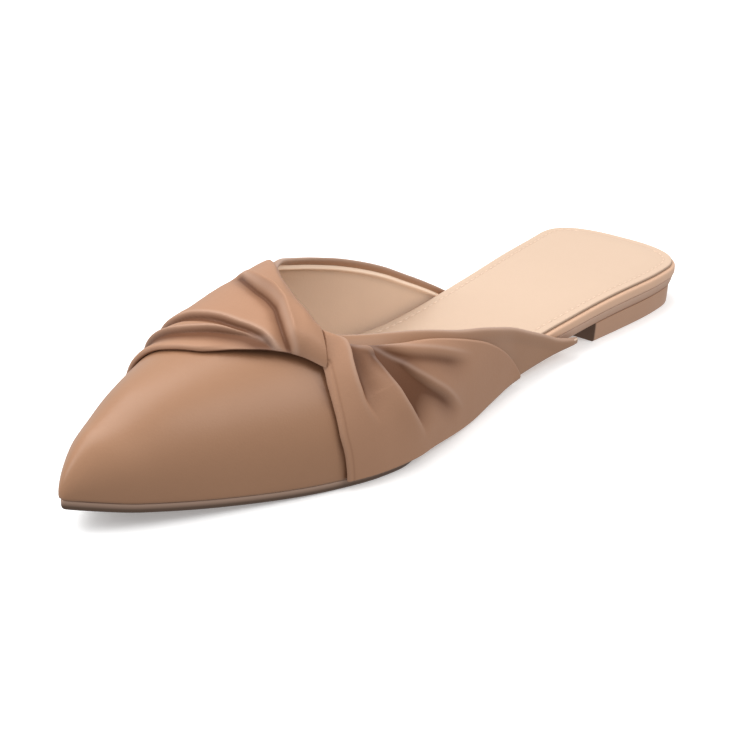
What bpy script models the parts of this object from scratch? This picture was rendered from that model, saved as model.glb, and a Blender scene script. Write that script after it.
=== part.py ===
"""A flat, backless, pointed shoe for the left foot.

A lasted upper, open at the back, carries two half bands that meet in a twist over the vamp. Under it lie
an insole with its sock, a thin outsole and a low heel. The toe points to -Y, the outer side of the foot is
+X, and the shoe stands on the plane z = 0 with the middle of its outline at x = y = 0.
"""

import math
from bisect import bisect_right
from collections import namedtuple
from functools import lru_cache

import bpy
from mathutils import Vector

# Driving dimensions, in metres
SHOE_LENGTH = 0.265
BALL_WIDTH = 0.077
INSTEP_HEIGHT = 0.050
HEEL_HEIGHT = 0.0066
HEEL_LENGTH = 0.0625
TOE_SPRING = 0.0075
OUTSOLE_THICKNESS = 0.0025
OUTSOLE_SEAT_THICKNESS = 0.0034
INSOLE_THICKNESS = 0.0022
INSOLE_SEAT_THICKNESS = 0.0036
SOCK_THICKNESS = 0.0008
SOCK_INSET = 0.0012
UPPER_WALL = 0.0016
BAND_WALL = 0.0014
KNOT_SWELL = 0.0042
BAND_PUFF = 0.0012
EDGE_CHAMFER = 0.0003

# Clearances and small edges
FIT_GAP = 0.0003
LASTING_GAP = 0.0004
SOLE_EDGE_SET_BACK = 0.0004
HEEL_SET_BACK = 0.0016
HEEL_TAPER = 0.0003
SEAT_BEVEL = 0.0010
EDGE_ROUND = 0.0006
UPPER_TUCK = 0.0026
QUARTER_TUCK = 0.0040
SIDE_BULGE = 0.0016
CREST_SHIFT = -0.0020

# Stretches of the shoe, as shares of its length from the back of the heel
SEAT_END = 0.16
SHANK_END = 0.60
SPRING_START = 0.73
QUARTER_END = 0.292
WAIST_START = 0.36
WAIST_END = 0.46
FOREPART_START = 0.56
TUCK_START = 0.64
TUCK_FULL = 0.52
FEATHER_START = 0.62
FEATHER_END = 0.68
THROAT_SIDE = 0.66
THROAT_FRONT = 0.7225
HEEL_ROUND = 0.075
TOE_ROUND = 0.06
NOSE_ROUND = 0.045
INSOLE_TOE = 0.968
SOCK_TOE = 0.955
CREST_FADE = 0.4

# Places where a rounded end stops short of its own apex, so that its last row still has a width
BACK_TIP = 0.0002
FRONT_TIP = 0.9993
UPPER_TIP = 0.9990
ROUND_TIP = 0.0007

# How square the outline is at the heel, and how low on the side the upper bulges most
HEEL_SQUARENESS = 2.6
BULGE_LOWNESS = 3

# Way round the last over the ball, above the sole, as a share of the ball width
GIRTH_SHARE = 1.45

# Shares of the inner half band between which the twist swells up and fades again
KNOT_RISE = (-0.12, 0.10)
KNOT_FADE = (0.13, 0.46)

# A half band's crown across its width: how fast it rises from the edges, where its puff fades, how fast
# the pleats deepen from the edges, and its thinnest place as a share of its wall
CROWN_POWER = 0.7
PUFF_FADE = (0.5, 1.0)
PLEAT_RISE = 1.5
THINNEST_SHARE = 0.75

# The outline: half widths as shares of the ball width
Outline = namedtuple("Outline", "along lateral medial")
OUTLINE = [
    Outline(0.00, 0.343, 0.389),
    Outline(0.12, 0.378, 0.328),
    Outline(0.28, 0.356, 0.270),
    Outline(0.36, 0.340, 0.264),
    Outline(0.42, 0.350, 0.280),
    Outline(0.48, 0.388, 0.330),
    Outline(0.55, 0.440, 0.406),
    Outline(0.62, 0.482, 0.475),
    Outline(0.66, 0.497, 0.499),
    Outline(0.70, 0.484, 0.495),
    Outline(0.76, 0.423, 0.454),
    Outline(0.86, 0.274, 0.315),
    Outline(0.94, 0.137, 0.180),
    Outline(1.00, 0.021, 0.077),
]

# The last above the sole: crest height as a share of the instep height, and how square its arch is
Arch = namedtuple("Arch", "along crest squareness")
ARCH = [
    Arch(0.25, 1.24, 2.6),
    Arch(0.40, 1.18, 2.6),
    Arch(0.50, 1.10, 2.4),
    Arch(0.60, 1.00, 2.2),
    Arch(0.68, 0.91, 2.1),
    Arch(0.76, 0.82, 2.1),
    Arch(0.84, 0.70, 2.1),
    Arch(0.90, 0.58, 2.1),
    Arch(0.95, 0.42, 2.1),
    Arch(1.00, 0.28, 2.1),
]

# The topline, as shares of the way round the arch from the lateral edge to the medial edge
Topline = namedtuple("Topline", "along lateral medial")
TOPLINE = [
    Topline(0.292, 0.004, 0.990),
    Topline(0.311, 0.008, 0.978),
    Topline(0.330, 0.014, 0.965),
    Topline(0.360, 0.030, 0.943),
    Topline(0.400, 0.054, 0.912),
    Topline(0.430, 0.076, 0.880),
    Topline(0.456, 0.096, 0.850),
    Topline(0.497, 0.130, 0.812),
    Topline(0.550, 0.172, 0.758),
    Topline(0.592, 0.210, 0.708),
    Topline(0.625, 0.240, 0.652),
    Topline(0.660, 0.272, 0.588),
    Topline(0.687, 0.297, 0.530),
    Topline(0.705, 0.318, 0.474),
    Topline(0.716, 0.340, 0.420),
    Topline(0.7225, 0.380, 0.380),
]

# Edges of the two half bands, from the knot (step 0) to the lower edge of the upper (step 1)
Edge = namedtuple("Edge", "step front_along front_round rear_along rear_round")
LATERAL_BAND = [
    Edge(0.00, 0.742, 0.255, 0.7195, 0.341),
    Edge(0.20, 0.747, 0.212, 0.700, 0.285),
    Edge(0.40, 0.750, 0.162, 0.655, 0.236),
    Edge(0.60, 0.750, 0.110, 0.598, 0.193),
    Edge(0.80, 0.745, 0.058, 0.509, 0.114),
    Edge(1.00, 0.741, 0.000, 0.414, 0.000),
]
MEDIAL_BAND = [
    Edge(0.00, 0.743, 0.262, 0.7205, 0.349),
    Edge(0.12, 0.766, 0.318, 0.7150, 0.412),
    Edge(0.25, 0.800, 0.386, 0.701, 0.482),
    Edge(0.40, 0.830, 0.470, 0.676, 0.555),
    Edge(0.55, 0.838, 0.580, 0.652, 0.620),
    Edge(0.70, 0.833, 0.700, 0.628, 0.700),
    Edge(0.85, 0.820, 0.850, 0.585, 0.840),
    Edge(1.00, 0.800, 1.000, 0.530, 1.000),
]

# Pleats: valleys that run down the bands, each with its depth and half width, and the line it follows
Pleat = namedtuple("Pleat", "depth width line")
LATERAL_PLEATS = [
    Pleat(0.0012, 0.0022, [(0.716, 0.300), (0.710, 0.250), (0.718, 0.178), (0.716, 0.116)]),
    Pleat(0.0014, 0.0024, [(0.700, 0.275), (0.681, 0.222), (0.666, 0.150), (0.650, 0.098)]),
    Pleat(0.0013, 0.0026, [(0.686, 0.262), (0.662, 0.209), (0.612, 0.121), (0.560, 0.047)]),
]
MEDIAL_PLEATS = [
    Pleat(0.0022, 0.0022, [(0.760, 0.318), (0.735, 0.417), (0.711, 0.528), (0.691, 0.623)]),
    Pleat(0.0018, 0.0024, [(0.771, 0.350), (0.772, 0.480), (0.752, 0.600), (0.732, 0.770), (0.713, 0.900)]),
    Pleat(0.0012, 0.0024, [(0.790, 0.420), (0.795, 0.540), (0.780, 0.680), (0.765, 0.820)]),
]

# How fine the faceted solids are
SOLE_STEPS = 30
ARCH_STEPS = 12
QUARTER_STEPS = 14
THROAT_STEPS = 7
VAMP_STEPS = 10
TIP_STEPS = 8
BAND_LENGTH_STEPS = 20
BAND_WIDTH_STEPS = 22
SHARP_DEGREES = 40

# Finish of each piece: base colour, roughness
FINISHES = {
    "sole_edge": ((0.250, 0.150, 0.098, 1.0), 0.55),
    "heel_stack": ((0.235, 0.140, 0.092, 1.0), 0.50),
    "insole_wrap": ((0.330, 0.180, 0.105, 1.0), 0.50),
    "sock_lining": ((0.820, 0.640, 0.480, 1.0), 0.60),
    "upper_leather": ((0.370, 0.190, 0.100, 1.0), 0.42),
    "band_leather": ((0.360, 0.195, 0.115, 1.0), 0.46),
}


class Curve:
    """A smooth curve through rows of (place, value) that never swings past them."""

    def __init__(self, places, values):
        self.places = list(places)
        self.values = list(values)
        steps = [b - a for a, b in zip(self.places, self.places[1:])]
        rises = [(b - a) / h for a, b, h in zip(self.values, self.values[1:], steps)]
        slopes = [rises[0]]
        for left, right in zip(rises, rises[1:]):
            slopes.append(2 * left * right / (left + right) if left * right > 0 else 0.0)
        slopes.append(rises[-1])
        self.slopes = slopes

    def __call__(self, place):
        place = min(max(place, self.places[0]), self.places[-1])
        i = min(bisect_right(self.places, place), len(self.places) - 1) - 1
        step = self.places[i + 1] - self.places[i]
        t = (place - self.places[i]) / step
        a, b = self.values[i], self.values[i + 1]
        ease = t * t * (3 - 2 * t)
        swing = t * (1 - t) * ((1 - t) * self.slopes[i] - t * self.slopes[i + 1])
        return a + (b - a) * ease + step * swing


def columns(table):
    """Every column of a table but the first, as curves over the first."""
    names = table[0]._fields
    places = [row[0] for row in table]
    return {name: Curve(places, [getattr(row, name) for row in table]) for name in names[1:]}


OUTLINE_CURVES = columns(OUTLINE)
ARCH_CURVES = columns(ARCH)
TOPLINE_CURVES = columns(TOPLINE)
LATERAL_BAND_CURVES = columns(LATERAL_BAND)
MEDIAL_BAND_CURVES = columns(MEDIAL_BAND)


def ease(value, start, end):
    """0 before start, 1 after end and smooth between; end may lie before start."""
    t = min(max((value - start) / (end - start), 0.0), 1.0)
    return t * t * (3 - 2 * t)


def mix(a, b, t):
    return a + (b - a) * t


def y_at(along):
    """World y of a share of the length, counted from the back of the heel."""
    return SHOE_LENGTH * (0.5 - along)


# Heights of the layers along the shoe


def shank(along):
    """1 at the seat, 0 from the end of the shank to the toe."""
    return 1 - ease(along, SEAT_END, SHANK_END)


def spring(along):
    return TOE_SPRING * (max(along - SPRING_START, 0.0) / (1 - SPRING_START)) ** 2


def outsole_bottom(along):
    return (HEEL_HEIGHT + FIT_GAP) * shank(along) + spring(along)


def outsole_top(along):
    return outsole_bottom(along) + mix(OUTSOLE_THICKNESS, OUTSOLE_SEAT_THICKNESS, shank(along))


def insole_bottom(along):
    return outsole_top(along) + FIT_GAP


def insole_top(along):
    return insole_bottom(along) + mix(INSOLE_THICKNESS, INSOLE_SEAT_THICKNESS, shank(along))


def sock_bottom(along):
    return insole_top(along) + FIT_GAP


def sock_top(along):
    return sock_bottom(along) + SOCK_THICKNESS


def heel_top(along):
    return outsole_bottom(along) - FIT_GAP


def floor_level(along):
    return 0.0


def upper_edge(along):
    """Lower edge of the upper: on the outsole in the forepart, wrapped down past it in the waist."""
    tuck = mix(UPPER_TUCK, QUARTER_TUCK, ease(along, WAIST_END, QUARTER_END))
    return outsole_top(along) + FIT_GAP - tuck * ease(along, TUCK_START, TUCK_FULL)


# Outlines of the layers, seen from above


def outline_x(along, toe_end=1.0):
    """Lateral and medial x of the feather line, rounded off at the heel and at the toe."""
    lateral = OUTLINE_CURVES["lateral"](along) * BALL_WIDTH
    medial = OUTLINE_CURVES["medial"](along) * BALL_WIDTH
    middle = (lateral - medial) / 2
    half = (lateral + medial) / 2
    back = min(max((HEEL_ROUND - along) / HEEL_ROUND, 0.0), 1.0)
    front = min(max((along - toe_end + TOE_ROUND) / TOE_ROUND, 0.0), 1.0)
    half *= (1 - back ** HEEL_SQUARENESS) ** (1 / HEEL_SQUARENESS) * math.sqrt(1 - front ** 2)
    return middle + half, middle - half


def outline_point(along, side, inset, toe_end=1.0):
    """A point of the outline moved inwards by inset, square to the outline."""
    step = 0.0004
    low = max(along - step, 0.0)
    high = min(along + step, toe_end)
    before = Vector((outline_x(low, toe_end)[side], y_at(low)))
    after = Vector((outline_x(high, toe_end)[side], y_at(high)))
    tangent = (after - before).normalized()
    inward = Vector((-tangent.y, tangent.x)) if side else Vector((tangent.y, -tangent.x))
    return Vector((outline_x(along, toe_end)[side], y_at(along))) + inward * inset


def forepart(along):
    """1 where the insole lies inside the upper, 0 where its edge shows behind it."""
    return ease(along, WAIST_START, FOREPART_START)


def insole_inset(along):
    return (UPPER_WALL + LASTING_GAP) * forepart(along)


def outsole_inset(along):
    under_upper = insole_inset(along) + SOLE_EDGE_SET_BACK
    return mix(under_upper, SOLE_EDGE_SET_BACK, ease(along, FEATHER_START, FEATHER_END))


def seat_bevel(along):
    """How much further in the outsole's lower edge lies than its upper edge, over the heel."""
    return SEAT_BEVEL * shank(along)


def no_bevel(along):
    return 0.0


def upper_stand_off(along):
    """How far the upper's outer face stands outside the outline."""
    return (UPPER_WALL + LASTING_GAP) * (1 - forepart(along))


def sole_stations(start, end, rounded_start, rounded_end):
    """Shares of the length, closer together where the outline is rounded off."""
    stations = []
    for i in range(SOLE_STEPS + 1):
        t = i / SOLE_STEPS
        if rounded_start and rounded_end:
            t = 0.5 - 0.5 * math.cos(math.pi * t)
        elif rounded_start:
            t = 1 - math.cos(0.5 * math.pi * t)
        stations.append(mix(start, end, t))
    return stations


# Meshes


def add_object(name, points, faces, finish):
    mesh = bpy.data.meshes.new(name)
    mesh.from_pydata([tuple(p) for p in points], [], faces)
    mesh.update()
    mesh.shade_smooth()
    mesh.set_sharp_from_angle(angle=math.radians(SHARP_DEGREES))
    colour, roughness = FINISHES[finish]
    material = bpy.data.materials.get(finish)
    if material is None:
        material = bpy.data.materials.new(finish)
        material.use_nodes = True
        shader = material.node_tree.nodes["Principled BSDF"]
        shader.inputs["Base Color"].default_value = colour
        shader.inputs["Roughness"].default_value = roughness
        shader.inputs["Metallic"].default_value = 0.0
        material.diffuse_color = colour
    mesh.materials.append(material)
    thing = bpy.data.objects.new(name, mesh)
    bpy.context.scene.collection.objects.link(thing)
    return thing


def add_slab(name, stations, bottom, top, inset, edge, finish, toe_end=1.0, bevel=no_bevel):
    """A layer of the bottom: one ring of points for each station, joined along the shoe.

    edge lists the rows of the side face from the bottom up, as (share of the height, extra inset), and
    bevel is how far the foot of the side face lies inside its head.
    """
    points = []
    for along in stations:
        for side, rows in ((0, edge), (1, edge[::-1])):
            for height, extra in rows:
                drawn_in = inset(along) + extra + bevel(along) * (1 - height)
                flat = outline_point(along, side, drawn_in, toe_end)
                own = 0.5 - flat.y / SHOE_LENGTH
                points.append((flat.x, flat.y, mix(bottom(own), top(own), height)))
    ring = 2 * len(edge)
    faces = []
    for i in range(len(stations) - 1):
        for j in range(ring):
            k = (j + 1) % ring
            faces.append((i * ring + j, i * ring + k, (i + 1) * ring + k, (i + 1) * ring + j))
    last = (len(stations) - 1) * ring
    for j in range(len(edge) - 1):
        a, b = j, j + 1
        c, d = ring - 2 - j, ring - 1 - j
        faces.append((a, d, c, b))
        faces.append((last + a, last + b, last + c, last + d))
    return add_object(name, points, faces, finish)


# The last's surface above the sole


@lru_cache(maxsize=None)
def section(along):
    """Sizes of the arch at one station: edges, crest, heights and the rounding at the tip."""
    lateral, medial = outline_x(along)
    lateral += upper_stand_off(along)
    medial -= upper_stand_off(along)
    nose = min(max((along - 1 + NOSE_ROUND) / NOSE_ROUND, 0.0), 1.0)
    nose = math.sqrt(1 - nose ** 2)
    front = min(max((along - 1 + TOE_ROUND) / TOE_ROUND, 0.0), 1.0)
    front = math.sqrt(1 - front ** 2)
    crest_x = (lateral + medial) / 2 + CREST_SHIFT * min((1 - along) / CREST_FADE, 1.0)
    low = upper_edge(along)
    high = ARCH_CURVES["crest"](along) * INSTEP_HEIGHT + spring(along)
    power = 2 / ARCH_CURVES["squareness"](along)
    return lateral, medial, crest_x, low, (high - low) * nose, power, SIDE_BULGE * front


def last_point(along, around):
    """Outer face of the upper; around runs from 0 at the lateral edge to 1 at the medial edge."""
    lateral, medial, crest_x, low, height, power, bulge = section(along)
    angle = math.pi * around
    c, s = math.cos(angle), max(math.sin(angle), 0.0)
    reach = (lateral if c >= 0 else -medial) + (-crest_x if c >= 0 else crest_x)
    out = reach * abs(c) ** power + bulge * 2 * s * abs(c) ** BULGE_LOWNESS
    return Vector((crest_x + math.copysign(out, c), y_at(along), low + height * s ** power))


def last_normal(along, around):
    d_along, d_around = 0.0006, 0.004
    a0, a1 = max(along - d_along, 0.0), min(along + d_along, 0.9999)
    r0, r1 = max(around - d_around, 0.0), min(around + d_around, 1.0)
    lengthwise = last_point(a1, around) - last_point(a0, around)
    crosswise = last_point(along, r1) - last_point(along, r0)
    return crosswise.cross(lengthwise).normalized()


def lifted(along, around, lift):
    """A point at a distance outside the upper's outer face, or inside it where lift is negative."""
    return last_point(along, around) + last_normal(along, around) * lift


def upper_stations():
    """Stations of the upper, closer together round the throat and at the tip."""
    quarters = [mix(QUARTER_END, THROAT_SIDE, i / QUARTER_STEPS) for i in range(QUARTER_STEPS)]
    vamp = [mix(THROAT_FRONT, 1 - TOE_ROUND, i / VAMP_STEPS) for i in range(1, VAMP_STEPS)]

    def closing_up(start, end, steps):
        return [mix(start, end, math.sin(0.5 * math.pi * i / steps)) for i in range(steps + 1)]

    throat = closing_up(THROAT_SIDE, THROAT_FRONT, THROAT_STEPS)
    tip = closing_up(1 - TOE_ROUND, UPPER_TIP, TIP_STEPS)
    return quarters + throat + vamp + tip


def add_upper():
    """Vamp and quarters: an outer and an inner face, joined round the topline and the lower edge.

    Columns 0 to n run from the lateral edge up to the topline, n + 1 to 2n + 1 from the topline down
    to the medial edge. In front of the throat columns n and n + 1 are the same points.
    """
    stations = upper_stations()
    n = ARCH_STEPS
    points = []
    index = {}
    for layer, lift in (("outer", 0.0), ("inner", -UPPER_WALL)):
        for i, along in enumerate(stations):
            seam = TOPLINE_CURVES["lateral"](THROAT_FRONT)
            seam = mix(seam, 0.5, ease(along, THROAT_FRONT, 1.0))
            open_here = along < THROAT_FRONT - 1e-6
            lateral_top = TOPLINE_CURVES["lateral"](along) if open_here else seam
            medial_top = TOPLINE_CURVES["medial"](along) if open_here else seam
            for j in range(2 * n + 2):
                if j == n + 1 and not open_here:
                    index[layer, i, j] = index[layer, i, n]
                    continue
                if j <= n:
                    around = lateral_top * j / n
                else:
                    around = mix(medial_top, 1.0, (j - n - 1) / n)
                index[layer, i, j] = len(points)
                points.append(lifted(along, around, lift))
    faces = []
    top = len(stations) - 1
    throat = next(i for i, along in enumerate(stations) if along >= THROAT_FRONT - 1e-6)

    def quad(a, b, c, d):
        corners = []
        for key in (a, b, c, d):
            if index[key] not in corners:
                corners.append(index[key])
        if len(corners) > 2:
            faces.append(tuple(corners))

    for i in range(top):
        for j in range(2 * n + 1):
            if j == n:
                continue
            quad(("outer", i, j), ("outer", i + 1, j), ("outer", i + 1, j + 1), ("outer", i, j + 1))
            quad(("inner", i, j), ("inner", i, j + 1), ("inner", i + 1, j + 1), ("inner", i + 1, j))
    # rims along the lower edge and the topline
    for i in range(top):
        quad(("outer", i, 0), ("inner", i, 0), ("inner", i + 1, 0), ("outer", i + 1, 0))
        last = 2 * n + 1
        quad(("outer", i, last), ("outer", i + 1, last), ("inner", i + 1, last), ("inner", i, last))
        if i < throat:
            quad(("outer", i, n), ("outer", i + 1, n), ("inner", i + 1, n), ("inner", i, n))
            quad(("outer", i, n + 1), ("inner", i, n + 1), ("inner", i + 1, n + 1), ("outer", i + 1, n + 1))
    # ends of the quarters
    for j in range(2 * n + 1):
        if j != n:
            quad(("outer", 0, j), ("outer", 0, j + 1), ("inner", 0, j + 1), ("inner", 0, j))
    # the tip, closed by strips from side to side
    ring = [j for j in range(2 * n + 2) if j != n + 1]
    for k in range(len(ring) // 2):
        a, b = ring[k], ring[k + 1]
        c, d = ring[-2 - k], ring[-1 - k]
        quad(("outer", top, a), ("outer", top, d), ("outer", top, c), ("outer", top, b))
        quad(("inner", top, a), ("inner", top, b), ("inner", top, c), ("inner", top, d))
    a, d = ring[0], ring[-1]
    quad(("outer", top, a), ("inner", top, a), ("inner", top, d), ("outer", top, d))
    return add_object("upper", points, [face[::-1] for face in faces], "upper_leather")


# The two half bands


def distance_to_line(along, around, line):
    """Distance in metres on the last from a place to a line of (along, around) points."""
    girth = GIRTH_SHARE * BALL_WIDTH
    here = Vector((along * SHOE_LENGTH, around * girth))
    best = None
    for start, end in zip(line, line[1:]):
        a = Vector((start[0] * SHOE_LENGTH, start[1] * girth))
        b = Vector((end[0] * SHOE_LENGTH, end[1] * girth))
        t = min(max((here - a).dot(b - a) / (b - a).length_squared, 0.0), 1.0)
        gap = (here - a.lerp(b, t)).length
        best = gap if best is None else min(best, gap)
    return best


def band_thickness(along, around, step, across, pleats, swell):
    """Thickness of a half band: gathered and full near the knot, flat at its lower edge."""
    crown = math.sin(math.pi * across) ** CROWN_POWER
    full = BAND_WALL + crown * (BAND_PUFF * (1 - ease(step, *PUFF_FADE)) + swell(step))
    for pleat in pleats:
        gap = distance_to_line(along, around, pleat.line)
        full -= pleat.depth * math.exp(-((gap / pleat.width) ** 2)) * min(crown * PLEAT_RISE, 1.0)
    return max(full, BAND_WALL * THINNEST_SHARE)


def add_band(name, curves, pleats, swell, towards_lateral):
    """A half band between two faces over the upper, from its gathered end to its lower edge."""
    points = []
    rows, cols = BAND_LENGTH_STEPS + 1, BAND_WIDTH_STEPS + 1
    for layer in (0, 1):
        for i in range(rows):
            step = i / BAND_LENGTH_STEPS
            front = (curves["front_along"](step), curves["front_round"](step))
            rear = (curves["rear_along"](step), curves["rear_round"](step))
            for j in range(cols):
                across = j / BAND_WIDTH_STEPS
                along = mix(front[0], rear[0], across)
                around = mix(front[1], rear[1], across)
                lift = FIT_GAP
                if layer:
                    lift += band_thickness(along, around, step, across, pleats, swell)
                points.append(lifted(along, around, lift))
    faces = []
    size = rows * cols
    for i in range(rows - 1):
        for j in range(cols - 1):
            a, b = i * cols + j, i * cols + j + 1
            c, d = a + cols, b + cols
            faces.append((a, b, d, c))
            faces.append((a + size, c + size, d + size, b + size))
    for i in range(rows - 1):
        for j in (0, cols - 1):
            a = i * cols + j
            side = (a, a + cols, a + cols + size, a + size)
            faces.append(side if j == 0 else side[::-1])
    for j in range(cols - 1):
        for i in (0, rows - 1):
            a = i * cols + j
            end = (a, a + size, a + 1 + size, a + 1)
            faces.append(end if i == 0 else end[::-1])
    if not towards_lateral:
        faces = [face[::-1] for face in faces]
    return add_object(name, points, faces, "band_leather")


def no_swell(step):
    return 0.0


def knot_swell(step):
    """The twist: full where the inner half band wraps over the throat, gone half way down the side."""
    return KNOT_SWELL * ease(step, *KNOT_RISE) * (1 - ease(step, *KNOT_FADE))


def clear_scene():
    for thing in list(bpy.data.objects):
        bpy.data.objects.remove(thing, do_unlink=True)


def build():
    clear_scene()
    square = [(0.0, EDGE_CHAMFER), (0.12, 0.0), (0.88, 0.0), (1.0, EDGE_CHAMFER)]
    rounded = [(0.0, EDGE_ROUND), (0.25, 0.0), (0.75, 0.0), (1.0, EDGE_ROUND)]
    soft = [(0.0, 0.0), (0.5, 0.0), (1.0, SOCK_THICKNESS / 2)]
    block = [(0.0, HEEL_TAPER + EDGE_ROUND), (0.10, HEEL_TAPER), (1.0, 0.0)]
    breast = HEEL_LENGTH / SHOE_LENGTH
    add_slab("outsole", sole_stations(BACK_TIP, FRONT_TIP, True, True), outsole_bottom, outsole_top,
             outsole_inset, square, "sole_edge", bevel=seat_bevel)
    add_slab("heel", sole_stations(BACK_TIP, breast, True, False), floor_level, heel_top,
             lambda along: HEEL_SET_BACK, block, "heel_stack")
    add_slab("insole", sole_stations(BACK_TIP, INSOLE_TOE - ROUND_TIP, True, True), insole_bottom,
             insole_top, insole_inset, rounded, "insole_wrap", INSOLE_TOE)
    add_slab("sock", sole_stations(BACK_TIP, SOCK_TOE - ROUND_TIP, True, True), sock_bottom, sock_top,
             lambda along: insole_inset(along) + SOCK_INSET, soft, "sock_lining", SOCK_TOE)
    add_upper()
    add_band("band_lateral", LATERAL_BAND_CURVES, LATERAL_PLEATS, no_swell, True)
    add_band("band_medial", MEDIAL_BAND_CURVES, MEDIAL_PLEATS, knot_swell, False)


build()
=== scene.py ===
"""Leather, lining, sock, sole edges and studio for a flat pointed mule with a twisted band.

The toe points to -Y, the outer side of the left foot is +X, and the shoe stands on z = 0. Every piece is
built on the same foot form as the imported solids, in metres, and stands for the solid that it covers.
"""

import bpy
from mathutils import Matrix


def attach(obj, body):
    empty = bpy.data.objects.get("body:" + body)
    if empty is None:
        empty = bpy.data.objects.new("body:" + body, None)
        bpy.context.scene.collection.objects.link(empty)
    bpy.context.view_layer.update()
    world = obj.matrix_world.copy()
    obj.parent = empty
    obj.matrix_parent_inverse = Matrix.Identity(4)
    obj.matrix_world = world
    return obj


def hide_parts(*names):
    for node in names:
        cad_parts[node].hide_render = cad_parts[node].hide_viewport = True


bl_info = {
    "name": "Twist mule finish",
    "version": (1, 0, 0),
    "blender": (4, 5, 0),
    "location": "3D View > Sidebar > Mule",
    "description": "Leather upper, folded bands, lining, sock, sole edges and studio for a pointed mule",
    "category": "Object",
}

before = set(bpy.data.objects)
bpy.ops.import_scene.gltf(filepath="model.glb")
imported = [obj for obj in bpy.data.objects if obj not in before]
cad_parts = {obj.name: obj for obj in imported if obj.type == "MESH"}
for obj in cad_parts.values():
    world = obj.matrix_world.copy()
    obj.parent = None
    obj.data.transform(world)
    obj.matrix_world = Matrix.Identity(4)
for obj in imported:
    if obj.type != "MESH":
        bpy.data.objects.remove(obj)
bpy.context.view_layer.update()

import math
from collections import namedtuple

import bpy
import numpy as np
from bpy.props import FloatProperty, FloatVectorProperty, IntProperty, PointerProperty
from bpy.types import Operator, Panel, PropertyGroup
from mathutils import Matrix, Vector

MM = 0.001

# Stretches of the shoe, as shares of its length from the back of the heel
SEAT_END = 0.16
SHANK_END = 0.60
SPRING_START = 0.73
QUARTER_END = 0.292
WAIST_START = 0.36
WAIST_END = 0.46
FOREPART_START = 0.56
TUCK_FULL = 0.52
TUCK_START = 0.64
THROAT_BACK = 0.66
THROAT_FRONT = 0.7225
RIM_FADE_START = 0.70
SOLE_EDGE_OUT = (0.62, 0.68)
SHARP_TOE = 0.9993
UPPER_TIP = 0.999
LAST_STEP = 0.0007
HEEL_ROUND = 0.075
HEEL_SQUARENESS = 2.6
TOE_ROUND = 0.06
NOSE_ROUND = 0.045
INSOLE_TOE = 0.968
SOCK_TOE = 0.955
STITCHED = (0.012, SOCK_TOE - 0.03)
HEEL_BREAST = 0.0625 / 0.265
BACK_TIP = 0.0002

# The outline of the foot form: half widths as shares of the ball width
Outline = namedtuple("Outline", "along lateral medial")
OUTLINE = [
    Outline(0.00, 0.343, 0.389),
    Outline(0.12, 0.378, 0.328),
    Outline(0.28, 0.356, 0.270),
    Outline(0.36, 0.340, 0.264),
    Outline(0.42, 0.350, 0.280),
    Outline(0.48, 0.388, 0.330),
    Outline(0.55, 0.440, 0.406),
    Outline(0.62, 0.482, 0.475),
    Outline(0.66, 0.497, 0.499),
    Outline(0.70, 0.484, 0.495),
    Outline(0.76, 0.423, 0.454),
    Outline(0.86, 0.274, 0.315),
    Outline(0.94, 0.137, 0.180),
    Outline(1.00, 0.021, 0.077),
]

# The arch of the foot form: crest height as a share of the instep height, and how square it is
Arch = namedtuple("Arch", "along crest squareness")
ARCH = [
    Arch(0.25, 1.24, 2.6),
    Arch(0.40, 1.18, 2.6),
    Arch(0.50, 1.10, 2.4),
    Arch(0.60, 1.00, 2.2),
    Arch(0.68, 0.91, 2.1),
    Arch(0.76, 0.82, 2.1),
    Arch(0.84, 0.70, 2.1),
    Arch(0.90, 0.58, 2.1),
    Arch(0.95, 0.42, 2.1),
    Arch(1.00, 0.28, 2.1),
]

# The topline, as shares of the way round the arch from the lateral edge to the medial edge
Topline = namedtuple("Topline", "along lateral medial")
TOPLINE = [
    Topline(0.292, 0.004, 0.990),
    Topline(0.311, 0.008, 0.978),
    Topline(0.330, 0.014, 0.965),
    Topline(0.360, 0.030, 0.943),
    Topline(0.400, 0.054, 0.911),
    Topline(0.430, 0.076, 0.882),
    Topline(0.456, 0.096, 0.855),
    Topline(0.497, 0.130, 0.811),
    Topline(0.550, 0.172, 0.756),
    Topline(0.592, 0.210, 0.708),
    Topline(0.625, 0.240, 0.652),
    Topline(0.660, 0.272, 0.588),
    Topline(0.687, 0.297, 0.530),
    Topline(0.705, 0.318, 0.474),
    Topline(0.716, 0.340, 0.420),
    Topline(0.7225, 0.380, 0.380),
]

# Edges of the two half bands, from the knot (step 0) to the lower edge of the upper (step 1)
Edge = namedtuple("Edge", "step front_along front_round rear_along rear_round")
LATERAL_BAND = [
    Edge(0.00, 0.744, 0.257, 0.7228, 0.338),
    Edge(0.20, 0.749, 0.212, 0.702, 0.281),
    Edge(0.40, 0.752, 0.162, 0.655, 0.235),
    Edge(0.60, 0.753, 0.110, 0.598, 0.193),
    Edge(0.80, 0.750, 0.058, 0.509, 0.114),
    Edge(1.00, 0.747, 0.000, 0.414, 0.000),
]
MEDIAL_BAND = [
    Edge(0.00, 0.743, 0.259, 0.7205, 0.354),
    Edge(0.12, 0.766, 0.318, 0.7140, 0.412),
    Edge(0.25, 0.800, 0.386, 0.697, 0.482),
    Edge(0.40, 0.830, 0.470, 0.671, 0.555),
    Edge(0.55, 0.840, 0.580, 0.648, 0.620),
    Edge(0.70, 0.838, 0.700, 0.626, 0.700),
    Edge(0.85, 0.826, 0.850, 0.585, 0.840),
    Edge(1.00, 0.805, 1.000, 0.530, 1.000),
]

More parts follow.
